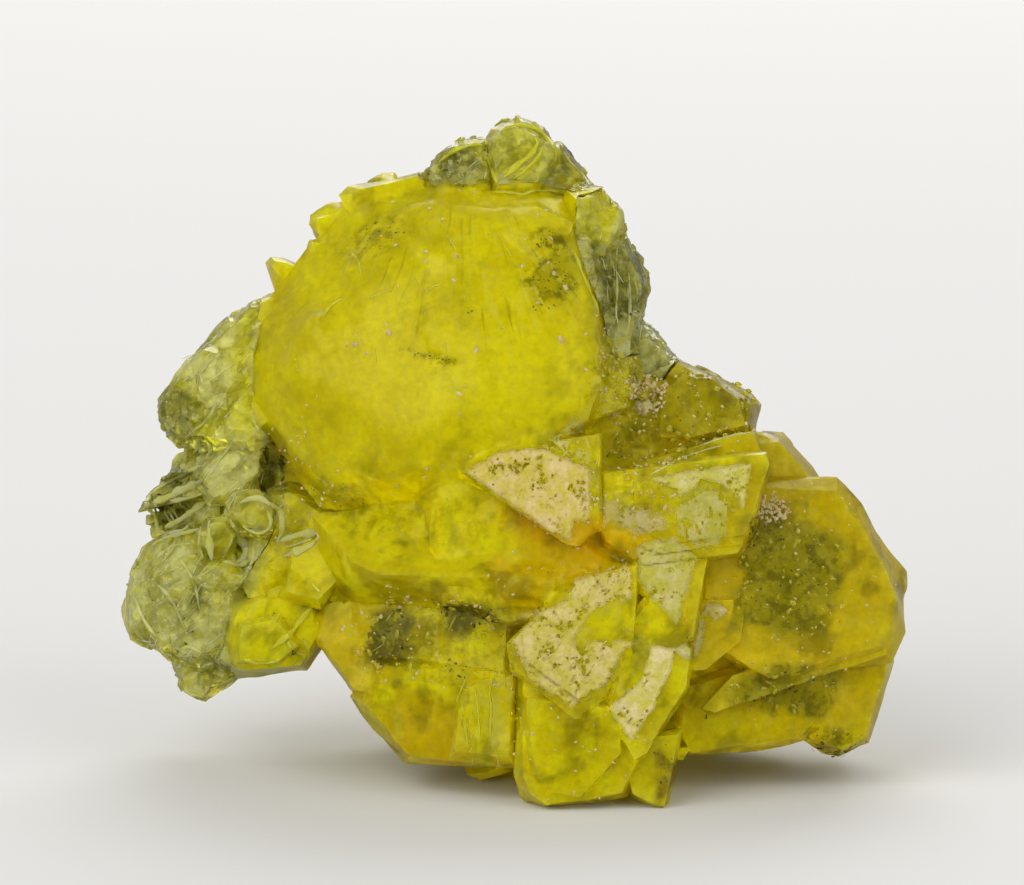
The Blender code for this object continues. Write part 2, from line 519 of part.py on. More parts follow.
def back_crystals():
    """Big crystals over the back, each with a few small ones sunk in its rear side."""
    made = []
    for index, (x, y, z, radius, length, turn, tilt) in enumerate(BACK_CRYSTALS):
        made.append(prism(f"back_{index}", (x, y, z), radius, length, turn, tilt,
                          roll=index * 11))
        chance = Random(index)
        for small in range(SMALL_CRYSTALS_EACH):
            around = chance.uniform(0.25 * pi, 0.75 * pi)
            reach = radius * 0.62
            centre = (x + cos(around) * reach, y + sin(around) * reach,
                      z + chance.uniform(-0.5, 0.5) * radius)
            size = radius * chance.uniform(0.3, 0.5)
            made.append(prism(f"back_{index}_{small}", centre, size, size * 2.4,
                              chance.uniform(-60, 60), chance.uniform(30, 90), sides=5))
    return made


def union(pieces):
    """All the crystals joined into the first one."""
    whole = pieces[0]
    for piece in pieces[1:]:
        join = whole.modifiers.new("grown_together", "BOOLEAN")
        join.operation = "UNION"
        join.solver = "EXACT"
        join.object = piece
        bpy.context.view_layer.objects.active = whole
        bpy.ops.object.modifier_apply(modifier=join.name)
        bpy.data.objects.remove(piece, do_unlink=True)
    return whole


def drop_sealed_gaps(cluster):
    """Keep the outer surface only: crystals that meet can close off small gaps inside."""
    shell = bmesh.new()
    shell.from_mesh(cluster.data)
    waiting = set(shell.verts)
    skins = []
    while waiting:
        skin = set()
        reached = [waiting.pop()]
        while reached:
            vert = reached.pop()
            skin.add(vert)
            for edge in vert.link_edges:
                other = edge.other_vert(vert)
                if other in waiting:
                    waiting.discard(other)
                    reached.append(other)
        skins.append(skin)
    skins.sort(key=len)
    for skin in skins[:-1]:
        bmesh.ops.delete(shell, geom=list(skin), context="VERTS")
    shell.to_mesh(cluster.data)
    shell.free()


def stand(cluster):
    """Lean the cluster to how it stands and cut its foot off flat at the floor."""
    lean = Matrix.Rotation(-LEAN, 4, "X")
    shell = bmesh.new()
    shell.from_mesh(cluster.data)
    bmesh.ops.transform(shell, matrix=lean, verts=shell.verts)
    bmesh.ops.bisect_plane(
        shell, geom=shell.verts[:] + shell.edges[:] + shell.faces[:], dist=1e-8,
        plane_co=(0.0, 0.0, FLOOR_HEIGHT), plane_no=(0.0, 0.0, 1.0), clear_inner=True)
    bmesh.ops.holes_fill(shell, edges=[edge for edge in shell.edges if edge.is_boundary])
    low = Vector((min(v.co[axis] for v in shell.verts) for axis in range(3)))
    high = Vector((max(v.co[axis] for v in shell.verts) for axis in range(3)))
    shift = -(low + high) / 2
    shift.z = -low.z
    bmesh.ops.translate(shell, vec=shift, verts=shell.verts)
    shell.to_mesh(cluster.data)
    shell.free()


clear_scene()
cluster = union(body() + dome() + rim_teeth() + crown() + right_strip() + right_shoulder()
                + middle_recess() + frosted_plates() + orange_heart() + right_block()
                + front_column() + lower_left_block() + lying_crystal() + left_lobes()
                + blade_fan() + back_crystals())
drop_sealed_gaps(cluster)
stand(cluster)
cluster.name = "crystal_cluster"
cluster.data.name = "crystal_cluster"
cluster.data.materials.append(crystal_material())
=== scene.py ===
from math import cos, pi, radians, sin
from random import Random

import bmesh
import bpy
import numpy as np
from mathutils import Matrix, Vector, noise
from mathutils.bvhtree import BVHTree


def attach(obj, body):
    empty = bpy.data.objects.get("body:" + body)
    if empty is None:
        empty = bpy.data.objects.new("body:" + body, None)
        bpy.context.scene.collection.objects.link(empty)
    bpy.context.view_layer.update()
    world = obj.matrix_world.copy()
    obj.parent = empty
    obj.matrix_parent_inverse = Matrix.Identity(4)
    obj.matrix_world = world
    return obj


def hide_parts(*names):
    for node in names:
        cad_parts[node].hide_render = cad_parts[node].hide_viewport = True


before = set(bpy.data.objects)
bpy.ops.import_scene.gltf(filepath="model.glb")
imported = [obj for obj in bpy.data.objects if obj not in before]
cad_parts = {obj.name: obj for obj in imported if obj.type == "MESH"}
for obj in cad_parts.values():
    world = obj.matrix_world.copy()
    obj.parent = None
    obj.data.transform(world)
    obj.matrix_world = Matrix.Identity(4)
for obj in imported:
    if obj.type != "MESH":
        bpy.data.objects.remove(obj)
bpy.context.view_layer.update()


# --- The stand: a pale matt table, with broad soft lamps round a specimen
# --- that is only 13 mm wide. The camera looks down the cluster's own depth.
MM = 0.001
LEAN = radians(9.0)
SET_OFF = Vector((0.025, -0.968, 0.0)) * MM
SIGHT_DISTANCE = 160.0
SIGHT_CENTRE = (-0.05, 5.583)
PIXELS_PER_MM = 60.0
IMAGE_WIDTH = 1024
SENSOR_WIDTH = 36.0
TABLE_HALF = 0.26
UPRIGHT = Matrix.Rotation(-LEAN, 3, "X")


def at(across, depth, height):
    """A point of the cluster's own leaning frame, in millimetres, as a place on the table."""
    return UPRIGHT @ (Vector((across, depth, height)) * MM) + SET_OFF


def leaning(place):
    """A place on the table as a point of the cluster's own leaning frame, in millimetres."""
    return UPRIGHT.transposed() @ ((place - SET_OFF) / MM)


def feed(tree, node, values):
    """Feed a node's inputs: an output is linked, and any other value is set as it is."""
    for socket, value in values.items():
        if isinstance(value, bpy.types.NodeSocket):
            tree.links.new(value, node.inputs[socket])
        else:
            node.inputs[socket].default_value = value


def put(tree, kind, inputs, output=0, **settings):
    """A node with its settings made and its inputs fed, and one of its outputs."""
    made = tree.nodes.new(f"ShaderNode{kind}")
    for setting, value in settings.items():
        setattr(made, setting, value)
    feed(tree, made, inputs)
    return made.outputs[output]


def blend_colours(tree, share, low, high):
    return put(tree, "Mix", {"Factor": share, "A": low, "B": high}, "Result", data_type="RGBA")


def dim_where_unseen(tree, seen, unseen):
    """A colour that only the camera sees at full strength, so the crystal mirrors less white."""
    return blend_colours(tree, put(tree, "LightPath", {}, "Is Camera Ray"), unseen, seen)


def new_finish(name):
    """A new material, with its node tree and its shader."""
    finish = bpy.data.materials.new(name)
    finish.use_nodes = True
    return finish, finish.node_tree, finish.node_tree.nodes["Principled BSDF"]


bpy.context.scene.view_settings.view_transform = "Standard"
bpy.ops.object.select_all(action="DESELECT")
bpy.ops.mesh.primitive_plane_add(size=2 * TABLE_HALF, location=(0, 0, 0))
table = bpy.context.active_object
table.name = "table_top"
matt, tree, shader = new_finish("matt_table")
feed(tree, shader, {
    "Base Color": dim_where_unseen(tree, (0.83, 0.82, 0.80, 1.0), (0.50, 0.50, 0.48, 1.0)),
    "Roughness": 0.9, "Specular IOR Level": 0.1})
table.data.materials.append(matt)

world = bpy.data.worlds.new("soft_air")
bpy.context.scene.world = world
world.use_nodes = True
feed(world.node_tree, world.node_tree.nodes["Background"], {
    "Color": dim_where_unseen(world.node_tree, (0.70, 0.70, 0.69, 1.0), (0.38, 0.38, 0.38, 1.0)),
    "Strength": 1.0})

camera_data = bpy.data.cameras.new("front_camera")
camera = bpy.data.objects.new("front_camera", camera_data)
bpy.context.scene.collection.objects.link(camera)
camera_data.sensor_width = SENSOR_WIDTH
camera_data.lens = PIXELS_PER_MM * SIGHT_DISTANCE * SENSOR_WIDTH / IMAGE_WIDTH
camera_data.clip_start = 0.01
camera_data.clip_end = 5.0
camera.location = at(SIGHT_CENTRE[0], -SIGHT_DISTANCE, SIGHT_CENTRE[1])
camera.rotation_euler = (pi / 2 - LEAN, 0.0, 0.0)
bpy.context.scene.camera = camera

# place (mm), size (mm), power (W)
LAMPS = {
    "key_lamp": ((-150, -190, 150), 240, 0.47),
    "fill_lamp": ((170, -180, 100), 240, 0.24),
    "back_lamp": ((20, 190, 160), 200, 0.30),
}
for name, (place, size, power) in LAMPS.items():
    lamp_data = bpy.data.lights.new(name, "AREA")
    lamp_data.size = size * MM
    lamp_data.energy = power
    lamp = bpy.data.objects.new(name, lamp_data)
    bpy.context.scene.collection.objects.link(lamp)
    lamp.visible_camera = False
    lamp.location = Vector(place) * MM
    lamp.rotation_euler = (at(0, 0, 5) - lamp.location).to_track_quat("-Z", "Y").to_euler()


# --- The cluster: one intergrown mass of jouravskite, cloudy lemon yellow,
# --- with flat faces that carry low growth steps and fine pits. Where it is
# --- clearer, the dark seen through it is painted into its colour as olive
# --- (painted see-through shade), and at its left end it pales to a glassy
# --- white. Its hollows carry painted shade and its edges painted highlights.
REMESH_DEPTH = 8
REMESH_SHARE = 0.56
MERGE = 0.0005
# The wander of the growth is drawn from this seed, so that it comes out the same each time.
WANDER_SEED = 12
noise.seed_set(WANDER_SEED)

# Each zone: centre and half sizes in the leaning frame (mm), and its turn in degrees.
DOME = ((-1.3, -1.6, 7.3), (2.9, 1.9, 2.5), 0)
CROWN = ((0.0, 0.0, 10.4), (1.5, 2.4, 0.75), 0)
STRIP = ((1.75, -0.5, 8.0), (0.62, 2.4, 1.75), 6)
LEFT = ((-5.3, 0.5, 4.3), (1.35, 3.4, 3.7), 0)
SHOULDER = ((3.1, 0.0, 6.3), (1.15, 2.6, 0.85), 0)
WINDOW = ((4.5, -1.7, 3.3), (0.95, 1.5, 1.05), 0)
LOW_WINDOW = ((4.5, -1.7, 1.5), (1.0, 1.5, 0.42), 0)
PLATES = ((1.7, -3.3, 3.1), (2.6, 1.0, 2.8), 0)
BLOCK = ((4.9, -1.9, 3.0), (1.9, 0.9, 2.6), 0)
HONEY_LUMP = ((0.25, -2.8, 3.25), (1.0, 0.8, 0.60), 0)


def share_in(points, centre, size, turn, edge=0.25):
    """How far inside a zone each point lies: 0 outside it, 1 well inside."""
    away = points - np.array(centre)
    angle = radians(turn)
    across = away[:, 0] * cos(angle) + away[:, 2] * sin(angle)
    height = away[:, 2] * cos(angle) - away[:, 0] * sin(angle)
    reach = np.sqrt((across / size[0]) ** 2 + (away[:, 1] / size[1]) ** 2
                    + (height / size[2]) ** 2)
    share = np.clip((1 + edge - reach) / (2 * edge), 0.0, 1.0)
    return share * share * (3 - 2 * share)


def mosaic(point, cell, lean, lift):
    """Height of a mosaic of small crystal faces, each tilted and raised by its own amount."""
    centre = noise.voronoi(point / cell)[1][0]
    pick = noise.cell_vector(centre * 91.7)
    tilt = (pick * 2 - Vector((1, 1, 1))) * lean
    return (point - centre * cell).dot(tilt) + (pick.x - 0.5) * lift


def ribs(point, cell, period, height):
    """Height of striated crystals lying side by side, each with its ribs its own way."""
    centre = noise.voronoi(point / cell)[1][0]
    way = noise.cell_vector(centre * 57.3) * 2 - Vector((1, 1, 1))
    way = (way + Vector((0.2, 0.0, -1.0))).normalized()
    along = (point + noise.noise_vector(point * 1.3) * 0.12).dot(way) / period
    return (abs(along % 1.0 - 0.5) * 2 - 0.5) * height


def select(*objects):
    """Select these objects alone, with the first one active."""
    bpy.ops.object.select_all(action="DESELECT")
    for obj in objects:
        obj.select_set(True)
    bpy.context.view_layer.objects.active = objects[0]


def edit(obj):
    """Edit mode on this object alone, with all of it selected."""
    select(obj)
    bpy.ops.object.mode_set(mode="EDIT")
    bpy.ops.mesh.select_all(action="SELECT")
    return bmesh.from_edit_mesh(obj.data)


def finish_edit(obj):
    bmesh.update_edit_mesh(obj.data)
    bpy.ops.object.mode_set(mode="OBJECT")


def apply_all(obj):
    select(obj)
    for modifier in list(obj.modifiers):
        bpy.ops.object.modifier_apply(modifier=modifier.name)


def numbers(items, name, width=3, kind=np.float32):
    """One property of all of a mesh's vertices or edges, as rows of numbers."""
    flat = np.empty(len(items) * width, kind)
    items.foreach_get(name, flat)
    return flat.reshape(-1, width)


def leaning_points(mesh):
    """All of a mesh's points in the leaning frame, in millimetres."""
    points = numbers(mesh.vertices, "co").astype(float)
    return (points - np.array(SET_OFF)) / MM @ np.array(UPRIGHT)


def eased(mesh, values, rounds):
    """A value on every vertex, evened out with its neighbours' this many times."""
    ends = numbers(mesh.edges, "vertices", 2, np.int32)
    near, far = ends.T
    count = np.bincount(ends.ravel(), minlength=len(values))
    for _ in range(rounds):
        total = np.bincount(near, values[far], len(values))
        total += np.bincount(far, values[near], len(values))
        values = (values + total / count) / 2
    return values


def raise_by(mesh, rises):
    """Move every vertex along its normal by its own height in millimetres."""
    places = numbers(mesh.vertices, "co")
    normals = numbers(mesh.vertex_normals, "vector")
    places += (normals * rises[:, None] * MM).astype(np.float32)
    mesh.vertices.foreach_set("co", places.ravel())
    mesh.update()


# The stretches where the growth is clear glass, as outlines (across, height) in the
# leaning frame, and how far the cloudy part reaches into each.
CLEAR = {
    "left": ([(-4.05, 8.4), (-4.35, 7.0), (-4.3, 5.9), (-3.9, 5.3), (-3.75, 4.6),
              (-4.0, 4.0), (-4.4, 3.4), (-4.75, 3.0), (-4.78, 2.3), (-4.65, 1.7),
              (-4.65, 0.9), (-7.0, 0.9), (-7.0, 8.4)], (-0.05, 0.0)),
    "crown": ([(-1.6, 9.95), (-1.3, 9.86), (-0.4, 9.88), (0.5, 9.86), (1.1, 9.7),
               (1.5, 9.9), (1.5, 11.4), (-1.6, 11.4)], (0.0, 0.05)),
    "strip": ([(1.02, 9.69), (0.98, 9.1), (1.2, 8.4), (1.45, 7.7), (1.55, 7.25),
               (1.75, 6.98), (2.0, 7.05), (2.12, 6.72), (2.4, 6.62), (2.62, 6.9),
               (2.9, 6.98), (2.9, 7.8), (2.4, 9.9), (1.5, 9.86), (1.1, 9.66)], (0.05, 0.0)),
}
# Blunt crystals that stand in the corners where light would show through:
# across, depth, height, radius.
GAP_CRYSTALS = ((2.0, 0.1, 6.2, 0.45), (1.98, -1.12, 6.22, 0.42), (-4.9, 0.9, 4.47, 0.45),
                (1.5, -2.15, 3.95, 0.42), (1.75, -2.25, 3.70, 0.36), (1.2, -2.30, 4.05, 0.30))
CUT_START = -6.0
CUT_LENGTH = 14.0


def clear_cutter(outline, shift):
    """A prism through the whole depth of the cluster, over an outline in the leaning frame."""
    bpy.ops.object.select_all(action="DESELECT")
    bpy.ops.mesh.primitive_circle_add(vertices=len(outline), fill_type="NGON")
    cutter = bpy.context.active_object
    shell = edit(cutter)
    for vert, (across, height) in zip(shell.verts, outline):
        vert.co = at(across + shift[0], CUT_START, height + shift[1])
    bpy.ops.mesh.extrude_region_move(
        TRANSFORM_OT_translate={"value": UPRIGHT @ Vector((0.0, CUT_LENGTH, 0.0)) * MM})
    bpy.ops.mesh.select_all(action="SELECT")
    bpy.ops.mesh.normals_make_consistent(inside=False)
    finish_edit(cutter)
    return cutter


def settle(mesh):
    """List a mesh's faces in one fixed order, because a cut can leave them in any."""
    faces = [tuple(face.vertices) for face in mesh.polygons]
    starts = [face.index(min(face)) for face in faces]
    faces = sorted(face[start:] + face[:start] for face, start in zip(faces, starts))
    points = [tuple(vert.co) for vert in mesh.vertices]
    mesh.clear_geometry()
    mesh.from_pydata(points, [], faces)


def carve(obj, cutter, operation):
    """Cut this object with a cutter, and drop the cutter."""
    carved = obj.modifiers.new("carve", "BOOLEAN")
    carved.operation = operation
    carved.solver = "EXACT"
    carved.object = cutter
    apply_all(obj)
    settle(obj.data)
    bpy.data.objects.remove(cutter, do_unlink=True)


def even_out(obj, depth, share):
    """An even mesh over this object that keeps its corners and edges."""
    even = obj.modifiers.new("even_mesh", "REMESH")
    even.mode = "SHARP"
    even.octree_depth = depth
    even.scale = share
    apply_all(obj)


cluster = bpy.data.objects.new("lemon_cluster",
                               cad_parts["crystal_cluster"].data.copy())
bpy.context.scene.collection.objects.link(cluster)
edit(cluster)
bpy.ops.mesh.remove_doubles(threshold=MERGE * MM)
finish_edit(cluster)
for across, depth, height, size in GAP_CRYSTALS:
    bpy.ops.object.select_all(action="DESELECT")
    bpy.ops.mesh.primitive_ico_sphere_add(subdivisions=1, radius=size * MM,
                                          location=at(across, depth, height))
    crystal = bpy.context.active_object
    crystal.data.transform(crystal.matrix_world)
    crystal.matrix_world = Matrix.Identity(4)
    carve(cluster, crystal, "UNION")
clear = {}
for name, (outline, inward) in CLEAR.items():
    clear[name] = cluster.copy()
    clear[name].data = cluster.data.copy()
    clear[name].name = "clear_" + name
    bpy.context.scene.collection.objects.link(clear[name])
    carve(clear[name], clear_cutter(outline, (0.0, 0.0)), "INTERSECT")
for outline, inward in CLEAR.values():
    carve(cluster, clear_cutter(outline, inward), "DIFFERENCE")
even_out(cluster, REMESH_DEPTH, REMESH_SHARE)

# The dome's broad faces are worn into one another, and so is the honey-coloured
# lump in the heart; the rest keeps its edges.
WORN = ((((-1.35, -1.7, 7.2), (3.05, 2.0, 2.75), 0), 40), (HONEY_LUMP, 14),
        (((1.5, -2.5, 3.9), (0.55, 1.2, 0.45), 0), 8))
for zone, rounds in WORN:
    points = leaning_points(cluster.data)
    worn = (share_in(points, *zone, 0.1) > 0.5) & (points[:, 1] < 0.0)
    shell = edit(cluster)
    bpy.ops.mesh.select_mode(type="VERT")
    bpy.ops.mesh.select_all(action="DESELECT")
    for vert, chosen in zip(shell.verts, worn):
        vert.select_set(bool(chosen))
    bmesh.update_edit_mesh(cluster.data)
    bpy.ops.mesh.vertices_smooth(factor=0.5, repeat=rounds)
    finish_edit(cluster)

points = leaning_points(cluster.data)
dome = share_in(points, *DOME)
striped = np.maximum(share_in(points, *LEFT), share_in(points, *STRIP))
pebbly = share_in(points, *CROWN)
speckled = np.maximum.reduce([share_in(points, *zone)
                              for zone in (SHOULDER, WINDOW, LOW_WINDOW)])
smooth = np.maximum(share_in(points, *PLATES), share_in(points, *BLOCK) * 0.6)
coarse = (1.0 - 0.8 * smooth) * (1.0 - 0.5 * dome)
fine = (1.0 - smooth) * (0.4 - 0.25 * dome) + pebbly + 0.7 * speckled
rises = np.empty(len(points))
for index, point in enumerate(map(Vector, points)):
    rise = noise.noise(point / 1.1) * 0.03
    rise += mosaic(point, 0.75, 0.06, 0.03) * coarse[index]
    rise += mosaic(point, 0.30, 0.12, 0.0) * fine[index]
    rise += mosaic(point, 1.5, 0.05, 0.0) * dome[index]
    rise += ribs(point, 0.9, 0.24, 0.045) * striped[index]
    rises[index] = rise
raise_by(cluster.data, eased(cluster.data, rises, 3))
bpy.ops.object.shade_smooth_by_angle(angle=radians(30))


def leaning_place(tree):
    """The piece's own coordinates in the leaning frame, in millimetres."""
    own = put(tree, "TexCoord", {}, "Object")
    shift = -(UPRIGHT.transposed() @ SET_OFF) / MM
    return put(tree, "Mapping", {"Vector": own, "Location": shift,
                                 "Rotation": (LEAN, 0.0, 0.0), "Scale": (1 / MM,) * 3})


def wave(tree, place, scale, detail, rough):
    return put(tree, "TexNoise", {"Vector": place, "Scale": scale, "Detail": detail,
                                  "Roughness": rough}, 0)


def cloud(tree, place, scale, detail, low, high, rough=0.55):
    """Noise at this many waves a millimetre, cut to a mask between low and high."""
    return put(tree, "MapRange", {"Value": wave(tree, place, scale, detail, rough),
                                  "From Min": low, "From Max": high})


# The stretches of colour: centre, half sizes, turn, edge, colour, strength.
# The olive, near-black and russet ones are painted shade: the dark seen
# through clearer crystal, hollows, a cavity, a crack and a hole.
LEMON = (0.90, 0.80, 0.000)
LEMON_DEEP = (0.72, 0.61, 0.000)
LEMON_BRIGHT = (0.99, 0.93, 0.002)
# Painted see-through shade: olive stands for the dark seen through the clearer crystal.
PAINTED_SEE_THROUGH_OLIVE = (0.30, 0.28, 0.001)
# Painted shade: nearly black, laid in hollows, a cavity and a dark triangle on the left end.
PAINTED_HOLLOW_SHADE = (0.05, 0.045, 0.003)
AMBER = (0.80, 0.58, 0.000)
# Russet tone with painted shade, laid in a crack below the shoulder and in a hole near the foot.
RUSSET_WITH_PAINTED_SHADE = (0.32, 0.20, 0.001)
ORANGE = (0.93, 0.54, 0.000)
HONEY = (0.88, 0.62, 0.000)
OCHRE = (0.40, 0.32, 0.001)
PALE_GREEN = (0.60, 0.62, 0.10)
# Painted highlight, laid on the cluster's edges.
PAINTED_EDGE_HIGHLIGHT = (0.98, 0.93, 0.06)
STRETCHES = (
    ((4.6, -0.5, 3.2), (2.1, 3.0, 2.9), 0, 0.25, AMBER, 0.75),
    ((4.35, -0.9, 5.15), (0.9, 2.0, 0.6), 0, 0.3, OCHRE, 0.45),
    ((3.1, 0.0, 6.3), (1.25, 2.6, 0.95), 0, 0.25, OCHRE, 0.8),
    ((-2.83, -1.5, 2.1), (0.75, 1.6, 0.7), 0, 0.3, AMBER, 0.7),
    ((-1.42, -1.5, 0.8), (0.7, 1.6, 0.6), 0, 0.3, AMBER, 0.8),
    ((-5.3, 0.5, 4.3), (1.2, 3.4, 3.8), 0, 0.15, PALE_GREEN, 0.95),
    ((-4.0, -0.5, 2.4), (0.75, 2.0, 0.75), 0, 0.25, LEMON_BRIGHT, 0.8),
    ((-0.1, -2.4, 6.5), (1.3, 1.8, 0.8), 0, 0.5, LEMON_BRIGHT, 0.5),
    ((-3.7, -0.5, 4.0), (0.70, 1.6, 0.8), 0, 0.3, LEMON, 0.6),
    ((-3.6, -0.8, 4.45), (0.30, 1.6, 0.35), -30, 0.4, PAINTED_SEE_THROUGH_OLIVE, 0.6),
    ((1.7, -0.5, 8.1), (0.62, 2.4, 1.6), 6, 0.2, PAINTED_SEE_THROUGH_OLIVE, 0.75),
    ((-0.9, -0.5, 10.2), (0.5, 1.6, 0.45), 0, 0.25, PAINTED_SEE_THROUGH_OLIVE, 0.9),
    ((0.95, -0.3, 10.15), (0.45, 1.6, 0.45), 0, 0.25, PAINTED_SEE_THROUGH_OLIVE, 0.8),
    ((0.05, -0.3, 10.5), (0.65, 1.6, 0.55), 0, 0.2, PALE_GREEN, 0.7),
    ((0.67, -2.3, 8.5), (0.35, 1.2, 0.6), 0, 0.5, PAINTED_SEE_THROUGH_OLIVE, 0.6),
    ((2.17, -1.5, 5.45), (0.85, 1.6, 0.38), 0, 0.4, RUSSET_WITH_PAINTED_SHADE, 0.45),
    ((0.75, -2.9, 4.05), (1.0, 1.2, 0.50), -25, 0.5, ORANGE, 0.95),
    ((1.6, -2.4, 3.9), (0.5, 0.9, 0.4), 0, 0.4, ORANGE, 0.6),
    ((0.2, -2.9, 3.35), (0.75, 1.2, 0.45), 0, 0.4, HONEY, 0.9),
    ((4.5, -1.7, 3.3), (0.95, 1.6, 1.05), 0, 0.22, PAINTED_SEE_THROUGH_OLIVE, 0.9),
    ((4.5, -1.7, 1.52), (1.0, 1.6, 0.42), 0, 0.25, PAINTED_SEE_THROUGH_OLIVE, 0.85),
    ((-2.02, -2.0, 2.42), (0.36, 1.2, 0.5), -35, 0.3, PAINTED_HOLLOW_SHADE, 0.85),
    ((-0.75, -2.2, 2.7), (0.52, 1.2, 0.25), 0, 0.3, PAINTED_HOLLOW_SHADE, 0.8),
    ((-4.03, -0.7, 5.09), (0.25, 1.2, 0.32), 0, 0.4, PAINTED_HOLLOW_SHADE, 0.8),
    ((2.43, -2.2, 0.1), (0.14, 1.4, 0.38), 0, 0.4, RUSSET_WITH_PAINTED_SHADE, 0.9),
    ((5.25, -1.4, 0.55), (0.28, 1.4, 0.16), 0, 0.4, PAINTED_HOLLOW_SHADE, 0.7),
    ((-0.45, -2.5, 0.95), (0.45, 1.3, 0.6), -12, 0.5, LEMON_BRIGHT, 0.6),
)
# Marks finer than the stretches: dark mottling, a pale veil, and fibres, each 0 to 1.
MARKS = (
    ((-1.3, -1.6, 7.3), (3.2, 2.2, 3.0), 0, 0.2, 0.06, 0.10, 0.10),
    ((-0.6, -1.8, 8.3), (1.9, 1.8, 1.3), 0, 0.4, 0.10, 0.25, 0.55),
    ((0.54, -2.0, 8.89), (0.30, 1.6, 0.20), 0, 0.4, 1.0, 0.2, 0.3),
    ((0.50, -2.2, 8.30), (0.50, 1.6, 0.38), -30, 0.4, 0.9, 0.2, 0.3),
    ((-2.35, -1.4, 9.0), (0.65, 1.6, 0.35), 20, 0.4, 0.55, 0.4, 0.4),
    ((-1.4, -2.6, 6.95), (0.55, 1.4, 0.06), -8, 0.5, 0.9, 0.0, 0.0),
    ((-3.0, -2.0, 4.75), (0.7, 1.6, 0.30), 0, 0.5, 0.6, 0.6, 0.2),
    ((0.0, -2.5, 4.6), (2.6, 1.8, 0.9), 0, 0.3, 0.12, 0.20, 0.20),
    ((-1.6, -2.3, 4.3), (1.8, 1.6, 0.4), 0, 0.3, 0.35, 0.30, 0.30),
    ((1.75, -1.6, 6.6), (0.6, 2.0, 0.9), -15, 0.4, 0.5, 0.95, 0.4),
    ((1.9, -2.2, 4.9), (1.2, 2.0, 0.8), 0, 0.4, 0.30, 0.60, 0.2),
    ((-1.0, -2.3, 2.4), (1.9, 1.6, 0.8), 0, 0.3, 0.45, 0.30, 0.35),
    ((-0.45, -2.5, 1.0), (0.55, 1.5, 0.75), -12, 0.4, 0.15, 0.7, 1.0),
    ((-2.4, -1.6, 1.4), (1.2, 1.6, 1.0), 0, 0.3, 0.30, 0.15, 0.2),
    ((1.0, -2.9, 0.9), (1.4, 1.4, 1.2), 0, 0.3, 0.12, 0.12, 0.15),
    ((4.5, -1.8, 3.0), (2.2, 1.8, 2.8), 0, 0.2, 0.12, 0.20, 0.15),
    ((5.1, -1.0, 0.6), (0.6, 1.8, 0.35), 0, 0.4, 0.9, 0.2, 0.0),
    ((3.2, 0.0, 6.3), (1.3, 2.6, 1.0), 0, 0.2, 0.55, 0.20, 0.0),
    ((-3.9, -1.0, 2.4), (0.9, 1.8, 0.8), 0, 0.3, 0.15, 0.20, 0.45),
    ((-3.9, -0.8, 4.5), (0.7, 1.8, 0.9), 0, 0.3, 0.45, 0.40, 0.5),
    ((0.75, -3.0, 2.4), (1.6, 1.4, 1.2), 0, 0.3, 0.20, 0.60, 0.1),
)


def cut(values, low, high):
    return np.clip((values - low) / (high - low), 0.0, 1.0)[:, None]


def towards(tints, colour, share):
    """These colours, brought towards one colour by this share."""
    return tints + (np.array(colour) - tints) * share


def hollows(mesh, rounds):
    """How far each vertex lies below its neighbourhood, in millimetres; edges come out negative."""
    places = numbers(mesh.vertices, "co").astype(float)
    around = np.stack([eased(mesh, places[:, axis], rounds) for axis in range(3)], axis=1)
    return ((around - places) * numbers(mesh.vertex_normals, "vector")).sum(axis=1) / MM


def paint(obj, name, values):
    """Keep three numbers for every vertex of this piece: a colour, marks or a place."""
    growth = obj.data.attributes.new(name, "FLOAT_VECTOR", "POINT")
    growth.data.foreach_set("vector", values.astype(np.float32).ravel())


points = leaning_points(cluster.data)
drifts = np.array([noise.fractal(point * 0.8, 1.0, 2.0, 3) for point in map(Vector, points)])
flecks = np.array([noise.fractal(point * 2.4, 0.9, 2.1, 4) for point in map(Vector, points)])
wisps = np.array([noise.fractal(Vector((x, d * 0.6, v)) * 1.5 + Vector((7, 3, 1)), 0.6, 2.2, 6)
                  for x, d, v in points])
sway = np.array([noise.turbulence_vector(point * 1.6, 3, False) for point in map(Vector, points)])
calm = 1.0 - 0.74 * share_in(points, *DOME)[:, None]
tints = towards(np.array(LEMON), LEMON_DEEP, cut(drifts, -0.1, 0.35) * calm ** 0.5)
tints = towards(tints, LEMON_BRIGHT, cut(flecks, 0.05, 0.5) * calm)
marks = np.zeros((len(points), 3))
for centre, size, turn, edge, tint, strength in STRETCHES:
    share = share_in(points + sway * 0.30, centre, size, turn, edge)[:, None] * strength
    tints = towards(tints, tint, share)
    # The painted-shade stretches, and ochre, also carry dark mottling.
    if tint in (PAINTED_SEE_THROUGH_OLIVE, PAINTED_HOLLOW_SHADE, RUSSET_WITH_PAINTED_SHADE, OCHRE):
        marks[:, 0] = np.maximum(marks[:, 0], share[:, 0] * (0.5 if tint is OCHRE else 1.0))
for centre, size, turn, edge, *amounts in MARKS:
    share = share_in(points + sway * 0.20, centre, size, turn, edge)[:, None]
    marks = np.maximum(marks, share * np.array(amounts))
tints = tints * (1.0 - 0.5 * calm * cut(wisps, 0.15, 0.6))
# The fibres of the growth fan down from a point above the dome.
FAN_TOP = (-0.9, 11.2)
FAN_WAVES = (36.0, 0.8, 0.6)
aside = points[:, 0] - FAN_TOP[0]
below = FAN_TOP[1] - points[:, 2]
spread = np.arctan2(aside + 0.03 * sway[:, 0], below)
reach = np.hypot(aside, below)
paint(cluster, "fibre_place", np.stack([spread, reach, points[:, 1]], axis=1) * FAN_WAVES)
paint(cluster, "growth_marks", marks)
